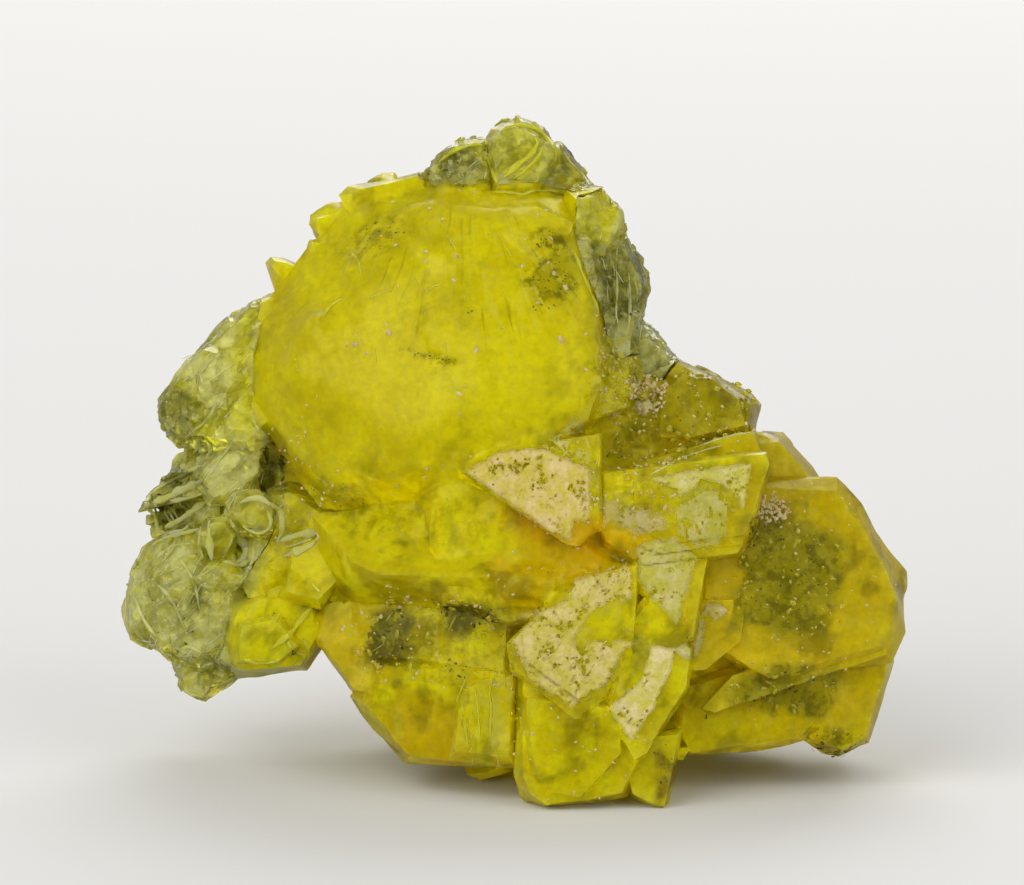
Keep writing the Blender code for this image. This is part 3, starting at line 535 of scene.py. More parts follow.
# Painted shade: the colour darkens in hollows and crevices, where shade falls, and a painted
# highlight lightens the edges.
sunk = hollows(cluster.data, 24)
tints = tints * (1.0 - 0.48 * cut(sunk, 0.02, 0.16))
paint(cluster, "vertex_tint", towards(tints, PAINTED_EDGE_HIGHLIGHT, 0.6 * cut(-sunk, 0.03, 0.16)))

# Clouding: the growth's vertex colour, with its painted shade and highlights, broken up by dark
# mottles, a pale veil and fibres.
clouding = bpy.data.node_groups.new("clouding", "ShaderNodeTree")
for socket, kind in (("Colour", "Color"), ("Marks", "Vector"), ("Place", "Vector"),
                     ("Fibre Place", "Vector"), ("Dark", "Color"), ("Pale", "Color")):
    clouding.interface.new_socket(name=socket, in_out="INPUT", socket_type="NodeSocket" + kind)
for socket, kind in (("Colour", "Color"), ("Relief", "Float")):
    clouding.interface.new_socket(name=socket, in_out="OUTPUT", socket_type="NodeSocket" + kind)
given = clouding.nodes.new("NodeGroupInput").outputs
grain = wave(clouding, given["Place"], 8.0, 2.0, 0.65)
dim = put(clouding, "MapRange", {"Value": grain, "From Min": 0.3, "From Max": 0.7,
                                 "To Min": 0.88, "To Max": 1.12})
colour = put(clouding, "VectorMath", {0: given["Colour"], "Scale": dim}, operation="SCALE")
amount = put(clouding, "SeparateXYZ", {"Vector": given["Marks"]}, 0).node.outputs
fibre = wave(clouding, given["Fibre Place"], 1.0, 2.0, 0.6)
for growing, low, high, share, tint in (
        (fibre, 0.58, 0.70, amount["Z"], given["Pale"]),
        (fibre, 0.38, 0.26, amount["Z"], given["Dark"]),
        (wave(clouding, given["Place"], 2.6, 3.0, 0.74), 0.51, 0.66, amount["Y"], given["Pale"]),
        (wave(clouding, given["Place"], 4.3, 3.0, 0.74), 0.47, 0.60, amount["X"], given["Dark"])):
    mask = put(clouding, "MapRange", {"Value": growing, "From Min": low, "From Max": high})
    mask = put(clouding, "Math", {0: mask, 1: share}, operation="MULTIPLY")
    mask = put(clouding, "Math", {0: mask, 1: 0.8}, operation="MULTIPLY")
    colour = blend_colours(clouding, mask, colour, tint)
relief = put(clouding, "Math", {0: fibre, 1: amount["Z"]}, operation="MULTIPLY")
relief = put(clouding, "Math", {0: relief, 1: grain}, operation="ADD")
feed(clouding, clouding.nodes.new("NodeGroupOutput"), {"Colour": colour, "Relief": relief})


def growth(name, mottles, relief, deep, surface):
    """The growth's finish: its vertex colour, painted shade and highlights included, clouded; low
    relief; and a tint that deepens inside.
    """
    finish, tree, shader = new_finish(name)
    kept = {socket: put(tree, "Attribute", {}, output, attribute_name=attribute)
            for socket, attribute, output in (("Colour", "vertex_tint", "Color"),
                                              ("Marks", "growth_marks", "Vector"),
                                              ("Fibre Place", "fibre_place", "Vector"))}
    clouded = put(tree, "Group", {"Place": leaning_place(tree)} | kept | mottles, "Colour",
                  node_tree=clouding)
    bump = put(tree, "Bump", {"Height": clouded.node.outputs["Relief"]} | relief, "Normal")
    shader.subsurface_method = "BURLEY"
    feed(tree, shader, {"Base Color": clouded, "Normal": bump} | surface)
    feed(tree, tree.nodes["Material Output"],
         {"Volume": put(tree, "VolumeAbsorption", deep, "Volume")})
    return finish


lemon = growth("lemon_crystal",
               {"Dark": (0.08, 0.07, 0.002, 1.0), "Pale": (0.96, 0.92, 0.10, 1.0)},
               {"Strength": 0.5, "Distance": 0.008 * MM},
               {"Color": (0.97, 0.93, 0.02, 1.0), "Density": 700.0},
               {"Roughness": 0.28, "IOR": 1.55, "Specular IOR Level": 0.2,
                "Specular Tint": (1.0, 0.90, 0.20, 1.0), "Transmission Weight": 0.5,
                "Subsurface Weight": 1.0, "Subsurface Radius": (1.0, 0.85, 0.1),
                "Subsurface Scale": 0.4 * MM})
cluster.data.materials.clear()
cluster.data.materials.append(lemon)
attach(cluster, "root")
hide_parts("crystal_cluster")


# --- The clear stretches at the left end, round the top and down the right of the
# --- dome: the same growth without its clouds, grown as striated glassy crystals.
GLASS_MESH = {"left": (7, 0.85), "crown": (6, 0.85), "strip": (6, 0.85)}
MILK = (0.93, 0.93, 0.36)
WATER = (0.80, 0.77, 0.030)
# Painted see-through shade: moss stands for the dark seen through the clear crystal.
PAINTED_SEE_THROUGH_MOSS = (0.26, 0.25, 0.010)
# Painted shade: near-black, laid in the dark gaps between the blades at the left end and on a dark
# triangle nearby.
PAINTED_GAP_SHADE = (0.045, 0.045, 0.008)
HAY = (0.84, 0.80, 0.03)
# Painted highlight, laid on the rims of the clear crystal.
PAINTED_RIM_HIGHLIGHT = (0.96, 0.95, 0.36)
# Dark mottling, veil and fibres of each piece, and the way its fibres run.
GLASS_MARKS = {"left": (0.14, 0.80, 0.70), "crown": (0.50, 0.38, 0.6), "strip": (0.55, 0.32, 0.6)}
FIBRE_ANGLE = {"left": 40, "crown": 45, "strip": 86}
GLASS_STRETCHES = (
    ((-5.65, -0.4, 6.05), (0.35, 2.0, 0.55), 30, 0.35, PAINTED_SEE_THROUGH_MOSS, 0.8),
    ((-4.95, 0.0, 6.60), (0.42, 2.5, 0.42), 0, 0.35, MILK, 0.9),
    ((-4.30, 0.0, 6.60), (0.42, 2.5, 1.10), 0, 0.45, LEMON_BRIGHT, 0.9),
    ((-4.15, 0.0, 4.70), (0.40, 2.5, 0.90), 0, 0.45, LEMON, 0.7),
    ((-4.75, 0.0, 2.60), (0.28, 2.5, 0.90), 0, 0.45, LEMON_BRIGHT, 0.7),
    ((-4.95, 0.0, 5.60), (0.60, 2.5, 0.35), 0, 0.40, HAY, 0.6),
    ((-4.75, 0.0, 5.10), (0.50, 2.5, 0.55), -35, 0.35, MILK, 0.9),
    ((-4.07, 0.0, 5.03), (0.20, 2.5, 0.32), 0, 0.35, PAINTED_GAP_SHADE, 0.9),
    ((-5.75, 0.0, 4.60), (0.50, 2.5, 0.60), 0, 0.35, PAINTED_SEE_THROUGH_MOSS, 0.85),
    ((-4.35, 0.0, 4.25), (0.40, 2.5, 0.42), 0, 0.25, HAY, 0.8),
    ((-4.90, 0.0, 3.90), (0.32, 2.5, 0.42), 0, 0.25, HAY, 0.8),
    ((-5.55, 0.0, 2.75), (0.80, 2.5, 0.85), 0, 0.35, MILK, 0.75),
    ((-5.20, 0.0, 2.90), (0.20, 2.5, 0.30), 20, 0.50, PAINTED_SEE_THROUGH_MOSS, 0.7),
    ((-6.05, 0.0, 2.30), (0.50, 2.5, 0.14), -40, 0.50, HAY, 0.9),
    ((-5.10, 0.0, 1.85), (0.45, 2.5, 0.30), 0, 0.40, PAINTED_SEE_THROUGH_MOSS, 0.3),
    ((-5.15, 0.0, 1.45), (0.40, 2.5, 0.22), 0, 0.50, OCHRE, 0.7),
    ((-1.0, 0.0, 10.15), (0.42, 2.5, 0.34), 0, 0.35, PAINTED_SEE_THROUGH_MOSS, 0.9),
    ((-0.75, 0.0, 9.90), (0.60, 2.5, 0.10), 0, 0.50, HAY, 0.8),
    ((0.15, 0.0, 10.5), (0.55, 2.5, 0.50), 0, 0.30, WATER, 0.8),
    ((0.95, 0.0, 10.1), (0.40, 2.5, 0.45), 0, 0.35, PAINTED_SEE_THROUGH_MOSS, 0.8),
    ((0.55, 0.0, 10.25), (0.13, 2.5, 0.36), -40, 0.40, HAY, 0.9),
    ((1.15, 0.0, 9.95), (0.40, 2.5, 0.30), 0, 0.35, LEMON, 0.85),
    ((1.70, 0.0, 8.2), (0.60, 2.5, 1.10), 6, 0.25, PAINTED_SEE_THROUGH_MOSS, 0.85),
    ((1.55, 0.0, 9.35), (0.90, 2.5, 0.50), 0, 0.25, LEMON_BRIGHT, 0.95),
    ((-5.72, -0.6, 4.95), (0.22, 2.5, 0.10), -28, 0.50, PAINTED_GAP_SHADE, 0.75),
    ((-5.45, -0.6, 4.45), (0.28, 2.5, 0.14), -20, 0.50, PAINTED_GAP_SHADE, 0.6),
    ((-4.85, 0.0, 3.90), (0.18, 2.5, 0.28), 0, 0.40, OCHRE, 0.6),
    ((2.30, 0.0, 7.1), (0.40, 2.5, 0.45), 0, 0.30, MILK, 0.7),
)

FIBRE_WAVES = (7.0, 1.1, 2.5)
glassy = growth("pale_crystal",
                {"Dark": (0.10, 0.10, 0.010, 1.0), "Pale": (0.97, 0.96, 0.38, 1.0)},
                {"Strength": 0.8, "Distance": 0.013 * MM},
                {"Color": (0.95, 0.93, 0.05, 1.0), "Density": 420.0},
                {"Roughness": 0.12, "IOR": 1.5, "Specular IOR Level": 0.3,
                 "Specular Tint": (1.0, 0.98, 0.30, 1.0), "Transmission Weight": 0.62,
                 "Subsurface Weight": 1.0, "Subsurface Radius": (1.0, 0.95, 0.25),
                 "Subsurface Scale": 0.4 * MM})

for name, glass in clear.items():
    even_out(glass, *GLASS_MESH[name])
    points = leaning_points(glass.data)
    rises = np.array([mosaic(point, 0.85, 0.14, 0.05) + mosaic(point, 0.32, 0.14, 0.0)
                      + ribs(point, 0.8, 0.24, 0.03) for point in map(Vector, points)])
    raise_by(glass.data, eased(glass.data, rises, 1))
    points = leaning_points(glass.data)
    sway = np.array([noise.turbulence_vector(point * 2.2, 3, False)
                     for point in map(Vector, points)])
    milk = np.array([noise.fractal(Vector((x + d * 0.5, d, v - x * 0.4)) * 2.6, 0.7, 2.1, 5)
                     for x, d, v in points])
    tints = towards(np.array(WATER), MILK, cut(milk, -0.1, 0.3))
    marks = np.zeros((len(points), 3)) + np.array(GLASS_MARKS[name])
    for centre, size, turn, edge, tint, strength in GLASS_STRETCHES:
        share = share_in(points + sway * 0.22, centre, size, turn, edge)[:, None] * strength
        tints = towards(tints, tint, share)
        # The painted-shade stretches also carry dark mottling.
        if tint in (PAINTED_SEE_THROUGH_MOSS, PAINTED_GAP_SHADE):
            marks = towards(marks, (1.0, 0.45, 0.6), share)
        elif tint in (LEMON, LEMON_BRIGHT, HAY):
            marks = towards(marks, (0.2, 0.3, 0.4), share)
    angle = radians(FIBRE_ANGLE[name])
    wander = points + sway * 0.12
    aside = wander[:, 2] * cos(angle) - wander[:, 0] * sin(angle)
    along = wander[:, 0] * cos(angle) + wander[:, 2] * sin(angle)
    paint(glass, "fibre_place", np.stack([aside, along, wander[:, 1]], axis=1) * FIBRE_WAVES)
    paint(glass, "growth_marks", marks)
    # Painted shade: the colour darkens in hollows and creases, and a painted highlight lightens the
    # rims.
    sunk = hollows(glass.data, 10)
    tints = tints * (1.0 - 0.4 * cut(-milk, 0.05, 0.45)) * (1.0 - 0.62 * cut(sunk, 0.01, 0.10))
    paint(glass, "vertex_tint", towards(tints, PAINTED_RIM_HIGHLIGHT, 0.8 * cut(-sunk, 0.015, 0.08)))
select(*clear.values())
bpy.ops.object.join()
bpy.ops.object.shade_smooth_by_angle(angle=radians(13))
glass = clear["left"]
glass.name = "clear_growth"
glass.data.name = "clear_growth"
glass.data.materials.clear()
glass.data.materials.append(glassy)
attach(glass, "root")


# --- The frost on the plates: a thin cream skin of finely crystalline matter, eaten
# --- into pits and ragged at its edges, lying flat on the growth faces.
FROST_CELL = 0.026
FROST_LIFT = 0.012
FROST_THICK = 0.016
FROST_STEP = 0.17
IMAGE_CENTRE = (512.0, 442.5)
PLATE_DEPTH = -3.0
AHEAD = UPRIGHT @ Vector((0.0, 1.0, 0.0))
RAY_START = -8.0
FULL_COVER = 0.30
RIM_FADE = 0.26


def from_image(px, py):
    """A place on the front plates, as (across, height), from its place in a 1024 x 885 view."""
    scale = PIXELS_PER_MM * SIGHT_DISTANCE / (SIGHT_DISTANCE + PLATE_DEPTH)
    return (SIGHT_CENTRE[0] + (px - IMAGE_CENTRE[0]) / scale,
            SIGHT_CENTRE[1] + (IMAGE_CENTRE[1] - py) / scale)


# outline in the 1024 x 885 view, share covered, ragged rim (mm), colour, how opaque
FROST = {
    "upper": ([(463, 472), (499, 451), (528, 447), (549, 449), (567, 458), (591, 468),
               (592, 521), (583, 524), (575, 522), (572, 542), (558, 539)],
              0.86, 0.05, (0.72, 0.57, 0.19), 0.92),
    "veil": ([(540, 449), (557, 423), (582, 410), (590, 430), (592, 468), (567, 460)],
             0.62, 0.20, (0.68, 0.62, 0.16), 0.70),
    "right_rim": ([(645, 478), (679, 471), (753, 461), (751, 483), (744, 515), (735, 497),
                   (721, 485), (705, 482), (690, 495), (680, 500), (668, 488)],
                  0.86, 0.07, (0.68, 0.62, 0.20), 0.88),
    "right_field": ([(680, 501), (705, 481), (725, 492), (737, 508), (730, 533), (718, 547),
                     (697, 554), (677, 535), (668, 515)],
                    0.80, 0.16, (0.62, 0.58, 0.16), 0.62),
    "right_haze": ([(597, 495), (620, 500), (652, 508), (675, 519), (666, 535), (633, 540),
                    (617, 528), (601, 531)], 0.76, 0.14, (0.60, 0.52, 0.18), 0.62),
    "tail": ([(635, 543), (675, 535), (699, 556), (679, 629), (652, 602), (636, 579)],
             0.88, 0.06, (0.64, 0.59, 0.17), 0.78),
    "low": ([(628, 561), (635, 575), (633, 600), (610, 602), (592, 616), (576, 639),
             (578, 648), (590, 639), (620, 638), (645, 642), (627, 650), (617, 664),
             (615, 682), (585, 698), (570, 710), (528, 680), (514, 650), (505, 627),
             (521, 611), (553, 606), (567, 597), (572, 579), (594, 572)],
            0.80, 0.10, (0.70, 0.59, 0.18), 0.85),
    "point": ([(607, 709), (640, 678), (650, 643), (677, 648), (672, 671), (654, 710),
               (631, 744)], 0.90, 0.05, (0.72, 0.63, 0.24), 0.92),
    "side": ([(672, 650), (691, 636), (693, 620), (707, 616), (708, 634), (698, 662),
              (682, 660)], 0.90, 0.05, (0.62, 0.58, 0.20), 0.80),
    "band": ([(622, 378), (636, 370), (652, 376), (662, 400), (658, 420), (641, 416),
              (628, 400)], 0.62, 0.16, (0.68, 0.62, 0.26), 0.75),
    "side_high": ([(693, 620), (707, 604), (725, 603), (732, 613), (714, 622), (707, 616)],
                  0.80, 0.08, (0.68, 0.58, 0.28), 0.85),
}


def within(outline, x, z):
    """How far inside an outline a point lies, in its own units; negative outside."""
    near = 1e9
    odd = False
    for (x0, z0), (x1, z1) in zip(outline, outline[1:] + outline[:1]):
        if (z0 > z) != (z1 > z) and x < x0 + (z - z0) * (x1 - x0) / (z1 - z0):
            odd = not odd
        along = ((x - x0) * (x1 - x0) + (z - z0) * (z1 - z0)) / ((x1 - x0) ** 2 + (z1 - z0) ** 2)
        along = min(max(along, 0.0), 1.0)
        near = min(near, ((x0 + along * (x1 - x0) - x) ** 2
                          + (z0 + along * (z1 - z0) - z) ** 2) ** 0.5)
    return near if odd else -near


def frost_cover(x, z, covered):
    """How thick the frost stands here: below zero in its pits."""
    fine = noise.fractal(Vector((x, z, 5.1)) * 13.0, 0.5, 2.2, 4)
    broad = noise.fractal(Vector((x, z, 9.4)) * 3.2, 0.9, 2.1, 3)
    return 0.40 * fine + 0.42 * broad + (covered - 0.50)


def frost_skin(name, outline, covered, ragged, tint, body):
    """A skin laid on the plates inside an outline, with a ragged rim and pits."""
    rim = [from_image(px, py) for px, py in outline]
    (low_x, high_x), (low_z, high_z) = [(min(side) - 0.1, max(side) + 0.1) for side in zip(*rim)]
    bpy.ops.object.select_all(action="DESELECT")
    bpy.ops.mesh.primitive_grid_add(x_subdivisions=int((high_x - low_x) / FROST_CELL),
                                    y_subdivisions=int((high_z - low_z) / FROST_CELL), size=2)
    skin = bpy.context.active_object
    skin.name = "frost_" + name
    shell = edit(skin)
    bpy.ops.mesh.select_mode(type="FACE")
    bpy.ops.mesh.select_all(action="DESELECT")
    for vert in shell.verts:
        vert.co.x = low_x + (vert.co.x + 1) / 2 * (high_x - low_x)
        vert.co.y = low_z + (vert.co.y + 1) / 2 * (high_z - low_z)
    for face in shell.faces:
        middle = face.calc_center_median()
        wander = noise.fractal(Vector((middle.x, middle.y, 1.7)) * 7.0, 0.7, 2.1, 4)
        keep = within(rim, middle.x, middle.y) / ragged + 1.2 * wander > 0.1
        face.select_set(not (keep and frost_cover(middle.x, middle.y, covered) > 0.0))
    bmesh.update_edit_mesh(skin.data)
    bpy.ops.mesh.delete(type="FACE")
    shell = bmesh.from_edit_mesh(skin.data)
    bpy.ops.mesh.select_mode(type="VERT")
    bpy.ops.mesh.select_all(action="DESELECT")
    vertex_tint = shell.verts.layers.float_vector.new("vertex_tint")
    film = shell.verts.layers.float.new("film")
    for vert in shell.verts:
        x, z = vert.co.xy
        blot = noise.fractal(Vector((x, z, 3.3)) * 4.5, 0.8, 2.1, 4) + 0.5
        blot = min(max(blot, 0.0), 1.0)
        share = min(max(frost_cover(x, z, covered) / FULL_COVER, 0.0), 1.0)
        near_rim = min(max(within(rim, x, z) / (RIM_FADE - 0.2 * body), 0.05), 1.0)
        vert[vertex_tint] = (tint[0] * (0.86 + 0.22 * blot), tint[1] * (0.88 + 0.16 * blot),
                               tint[2] * (0.35 + 0.95 * blot))
        vert[film] = min(0.25 + share, 1.0) * near_rim * body
        place, normal, _, _ = body_tree.ray_cast(at(x, RAY_START, z), AHEAD)
        vert.select_set(place is None)
        if place is not None:
            vert.co = place + normal * FROST_LIFT * MM
    for edge in shell.edges:
        if edge.calc_length() > FROST_STEP * MM:
            for vert in edge.verts:
                vert.select_set(True)
    bmesh.update_edit_mesh(skin.data)
    bpy.ops.mesh.delete(type="VERT")
    bpy.ops.mesh.select_all(action="SELECT")
    bpy.ops.mesh.vertices_smooth(factor=0.5, repeat=1)
    bpy.ops.mesh.normals_make_consistent(inside=False)
    finish_edit(skin)
    wall = skin.modifiers.new("thickness", "SOLIDIFY")
    wall.thickness = FROST_THICK * MM
    wall.offset = 0.0
    apply_all(skin)
    return skin


body_tree = BVHTree.FromObject(cluster, bpy.context.evaluated_depsgraph_get())
frost, tree, shader = new_finish("frosted_crystal")
place = leaning_place(tree)
colour = put(tree, "Attribute", {}, "Color", attribute_name="vertex_tint")
grit = wave(tree, place, 14.0, 2.0, 0.7)
dim = put(tree, "MapRange", {"Value": grit, "From Min": 0.3, "From Max": 0.7,
                             "To Min": 0.86, "To Max": 1.12})
colour = put(tree, "VectorMath", {0: colour, "Scale": dim}, operation="SCALE")
speckle = cloud(tree, place, 6.5, 4.0, 0.50, 0.64, 0.75)
speckle = put(tree, "Math", {0: speckle, 1: 0.65}, operation="MULTIPLY")
feed(tree, shader, {
    "Base Color": blend_colours(tree, speckle, colour, (0.62, 0.54, 0.04, 1.0)),
    "Normal": put(tree, "Bump", {"Height": grit, "Strength": 0.6, "Distance": 0.008 * MM},
                  "Normal"),
    "Alpha": put(tree, "Attribute", {}, "Fac", attribute_name="film"),
    "Roughness": 0.75, "Specular IOR Level": 0.25})
for name, row in FROST.items():
    skin = frost_skin(name, *row)
    bpy.ops.object.shade_smooth_by_angle(angle=radians(40))
    skin.data.materials.append(frost)
    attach(skin, "root")


# --- Small clear crystals that crust the olive stretches: blunt glassy grains of the
# --- same growth, half sunk in the surface they grew on.
def worn_grain(wear, seed):
    """The corners and faces of a blunt grain about 2 units across, worn unevenly."""
    chance = Random(seed)
    bpy.ops.object.select_all(action="DESELECT")
    bpy.ops.mesh.primitive_ico_sphere_add(subdivisions=1, radius=1.0)
    grain = bpy.context.active_object
    shell = edit(grain)
    for vert in shell.verts:
        vert.co *= 1.0 + chance.uniform(-wear, wear)
        vert.co.x *= 1.25
        vert.co.z *= 0.8
    finish_edit(grain)
    shape = (np.array([vert.co for vert in grain.data.vertices]),
             [tuple(face.vertices) for face in grain.data.polygons])
    bpy.data.objects.remove(grain, do_unlink=True)
    return shape


def places_on(surface, zone, count, chance):
    """Seeded places on the front of a surface inside a zone, each with the way it faces."""
    points, normals = surface
    facing = (normals @ np.array(UPRIGHT))[:, 1]
    usable = np.nonzero((share_in(points, *zone) > 0.4) & (facing < -0.05))[0]
    picked = [usable[int(chance.random() * len(usable))] for _ in range(count if len(usable) else 0)]
    return [(Vector(points[index]) + Vector((chance.uniform(-0.05, 0.05), 0.0,
                                             chance.uniform(-0.05, 0.05))),
             Vector(normals[index])) for index in picked]


def surface_of(obj):
    """Points in the leaning frame and normals on the table of this piece's vertices."""
    return leaning_points(obj.data), numbers(obj.data.vertex_normals, "vector").astype(float)


def strewn(rows, surface, chance, sink, squash=1.0):
    """Seeded poses of grains on a surface, for rows of zone, how many, and sizes in mm."""
    poses = []
    for zone, count, sizes in rows:
        for place, facing in places_on(surface, zone, count, chance):
            size = chance.uniform(*sizes)
            turn = (facing.to_track_quat("Z", "Y").to_matrix()
                    @ Matrix.Rotation(chance.uniform(0, 2 * pi), 3, "Z"))
            shape = Matrix.Diagonal((size * MM, size * MM * chance.uniform(0.6, 1.0),
                                     size * MM * squash))
            pose = (turn @ shape).to_4x4()
            pose.translation = at(*place) - facing * size * MM * sink
            poses.append(pose)
    return poses


def copies(name, wear, seeds, poses):
    """One piece made of a worn grain, each seed's in turn, at every pose."""
    shapes = [worn_grain(wear, seed) for seed in seeds]
    places = []
    faces = []
    start = 0
    for index, pose in enumerate(poses):
        corners, sides = shapes[index % len(shapes)]
        places.append(corners @ np.array(pose.to_3x3()).T + np.array(pose.translation))
        faces += [tuple(start + corner for corner in side) for side in sides]
        start += len(corners)
    mesh = bpy.data.meshes.new(name)
    mesh.from_pydata(np.concatenate(places).tolist(), [], faces)
    piece = bpy.data.objects.new(name, mesh)
    bpy.context.scene.collection.objects.link(piece)
    return piece


def clouded(name, scale, detail, mask, low, high, surface):
    """A finish whose colour drifts between two, with its shader's other values."""
    finish, tree, shader = new_finish(name)
    drift = cloud(tree, leaning_place(tree), scale, detail, *mask)
    feed(tree, shader, {"Base Color": blend_colours(tree, drift, low, high)} | surface)
    return finish


CRUST_SEED = 41
CRUST_SHAPES = range(5)
chance = Random(CRUST_SEED)
body_surface = surface_of(cluster)
glass_surface = surface_of(glass)
# zone, how many, sizes (mm)
CLEAR_CRUST = (
    (((-0.95, 0.0, 10.2), (0.55, 3.0, 0.5), 0), 50, (0.05, 0.12)),
    (((0.95, 0.0, 10.1), (0.45, 3.0, 0.5), 0), 30, (0.04, 0.10)),
    (((2.30, 0.0, 7.1), (0.45, 3.0, 0.55), 0), 60, (0.04, 0.12)),
    (((1.75, 0.0, 8.5), (0.55, 3.0, 1.3), 6), 90, (0.04, 0.10)),
    (((-5.5, 0.0, 5.9), (0.5, 3.0, 0.7), 0), 30, (0.06, 0.15)),
    (((-5.4, 0.0, 2.7), (0.9, 3.0, 1.2), 0), 70, (0.07, 0.18)),
)
LEMON_CRUST = (
    (((3.1, -1.0, 6.1), (1.0, 2.0, 0.75), 0), 34, (0.03, 0.06)),
    (((2.2, -1.5, 5.5), (0.8, 2.0, 0.35), 0), 40, (0.035, 0.08)),
    (((4.5, -1.7, 3.3), (0.95, 1.6, 1.05), 0), 90, (0.02, 0.06)),
    (((4.5, -1.7, 1.52), (1.0, 1.6, 0.42), 0), 36, (0.02, 0.06)),
    (((-2.0, -2.0, 2.4), (0.7, 1.4, 0.6), 0), 40, (0.03, 0.08)),
    (((-0.75, -2.2, 2.7), (0.7, 1.2, 0.4), 0), 40, (0.03, 0.08)),
    (((1.8, -1.6, 6.9), (0.45, 1.6, 0.7), 0), 60, (0.05, 0.12)),
)
GRAIN_GLASS = {"Roughness": 0.10, "IOR": 1.5}
clear_grain = clouded("clear_grain", 4.0, 2.0, (0.35, 0.65), (0.80, 0.78, 0.12, 1.0),
                      (0.94, 0.93, 0.36, 1.0),
                      GRAIN_GLASS | {"Specular Tint": (1.0, 1.0, 0.7, 1.0),
                                     "Transmission Weight": 0.82})
lemon_grain = clouded("lemon_grain", 4.0, 2.0, (0.35, 0.65), (0.80, 0.70, 0.02, 1.0),
                      (0.92, 0.86, 0.10, 1.0),
                      GRAIN_GLASS | {"Specular Tint": (1.0, 0.95, 0.35, 1.0),
                                     "Transmission Weight": 0.68})
for name, rows, surface, finish in (("clear_crust", CLEAR_CRUST, glass_surface, clear_grain),
                                    ("lemon_crust", LEMON_CRUST, body_surface, lemon_grain)):
    crust = copies(name, 0.18, CRUST_SHAPES, strewn(rows, surface, chance, sink=0.45))
    crust.data.materials.append(finish)
    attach(crust, "root")


# --- Crests: the thin bright edges of blades, rims and growth steps that stand up from
# --- the clear stretches and the dome, each one a narrow tapering sliver of crystal.
CREST_STEP = 0.05
CREST_SPREAD = 1.35
CREST_FLATNESS = 0.45
# half width, height above the surface, depth below it (mm), line in the 1024 x 885 view
PALE_CRESTS = (
    (0.026, 0.05, 0.10, ((142, 495), (139, 508), (146, 517), (149, 530), (154, 537))),
    (0.030, 0.07, 0.10, ((142, 495), (158, 484), (182, 472), (196, 466))),
    (0.050, 0.08, 0.12, ((144, 504), (162, 498), (184, 487), (198, 480))),
    (0.022, 0.05, 0.10, ((145, 508), (168, 502), (188, 498))),
    (0.018, 0.04, 0.08, ((172, 503), (177, 511))),
    (0.012, 0.03, 0.08, ((155, 511), (163, 526))),
    (0.012, 0.03, 0.08, ((159, 510), (167, 524))),
    (0.012, 0.03, 0.08, ((163, 509), (171, 522))),
    (0.045, 0.07, 0.12, ((156, 530), (171, 523), (188, 511), (200, 503))),
    (0.022, 0.05, 0.10, ((160, 535), (177, 532), (190, 522))),
    (0.024, 0.05, 0.10, ((144, 549), (158, 540), (181, 534), (195, 530))),
    (0.045, 0.06, 0.12, ((236, 504), (245, 500), (256, 499), (267, 505), (276, 511), (279, 521),
                         (278, 534), (273, 545))),
    (0.022, 0.05, 0.08, ((238, 526), (245, 531), (256, 534), (265, 530), (268, 521), (264, 511))),
    (0.034, 0.05, 0.10, ((206, 519), (205, 534), (206, 548), (208, 563))),
    (0.055, 0.06, 0.12, ((225, 519), (234, 530), (236, 541), (243, 549), (240, 560), (229, 565))),
    (0.038, 0.05, 0.10, ((219, 563), (236, 567), (246, 561))),
    (0.020, 0.04, 0.08, ((197, 526), (195, 545), (199, 560))),
    (0.048, 0.07, 0.12, ((277, 542), (297, 536), (316, 533))),
    (0.036, 0.06, 0.10, ((279, 558), (299, 552), (314, 543))),
    (0.030, 0.05, 0.10, ((315, 533), (317, 539), (314, 544))),
    (0.018, 0.05, 0.08, ((282, 549), (299, 544), (312, 539))),
    (0.020, 0.04, 0.08, ((186, 454), (192, 447), (193, 436))),
    (0.020, 0.04, 0.08, ((201, 458), (206, 449), (205, 441))),
    (0.022, 0.04, 0.08, ((199, 482), (217, 458), (229, 441))),
    (0.020, 0.04, 0.08, ((212, 402), (205, 416), (190, 430), (180, 437))),
    (0.022, 0.04, 0.08, ((128, 600), (136, 620), (150, 640))),
    (0.018, 0.04, 0.08, ((150, 560), (168, 548), (186, 545))),
    (0.020, 0.04, 0.08, ((140, 575), (165, 600), (180, 632))),
    (0.018, 0.04, 0.08, ((175, 560), (190, 585), (195, 612))),
    (0.020, 0.04, 0.08, ((172, 655), (184, 650), (205, 662), (222, 680))),
    (0.016, 0.03, 0.08, ((617, 262), (618, 292), (616, 320))),
    (0.014, 0.03, 0.08, ((630, 270), (631, 304), (629, 330))),
    (0.014, 0.03, 0.08, ((636, 280), (639, 292), (637, 302))),
    (0.018, 0.04, 0.08, ((563, 145), (571, 157), (584, 171), (591, 183))),
    (0.016, 0.03, 0.06, ((700, 446), (728, 437), (755, 432))),
    (0.016, 0.03, 0.06, ((650, 475), (688, 456), (725, 445))),
)
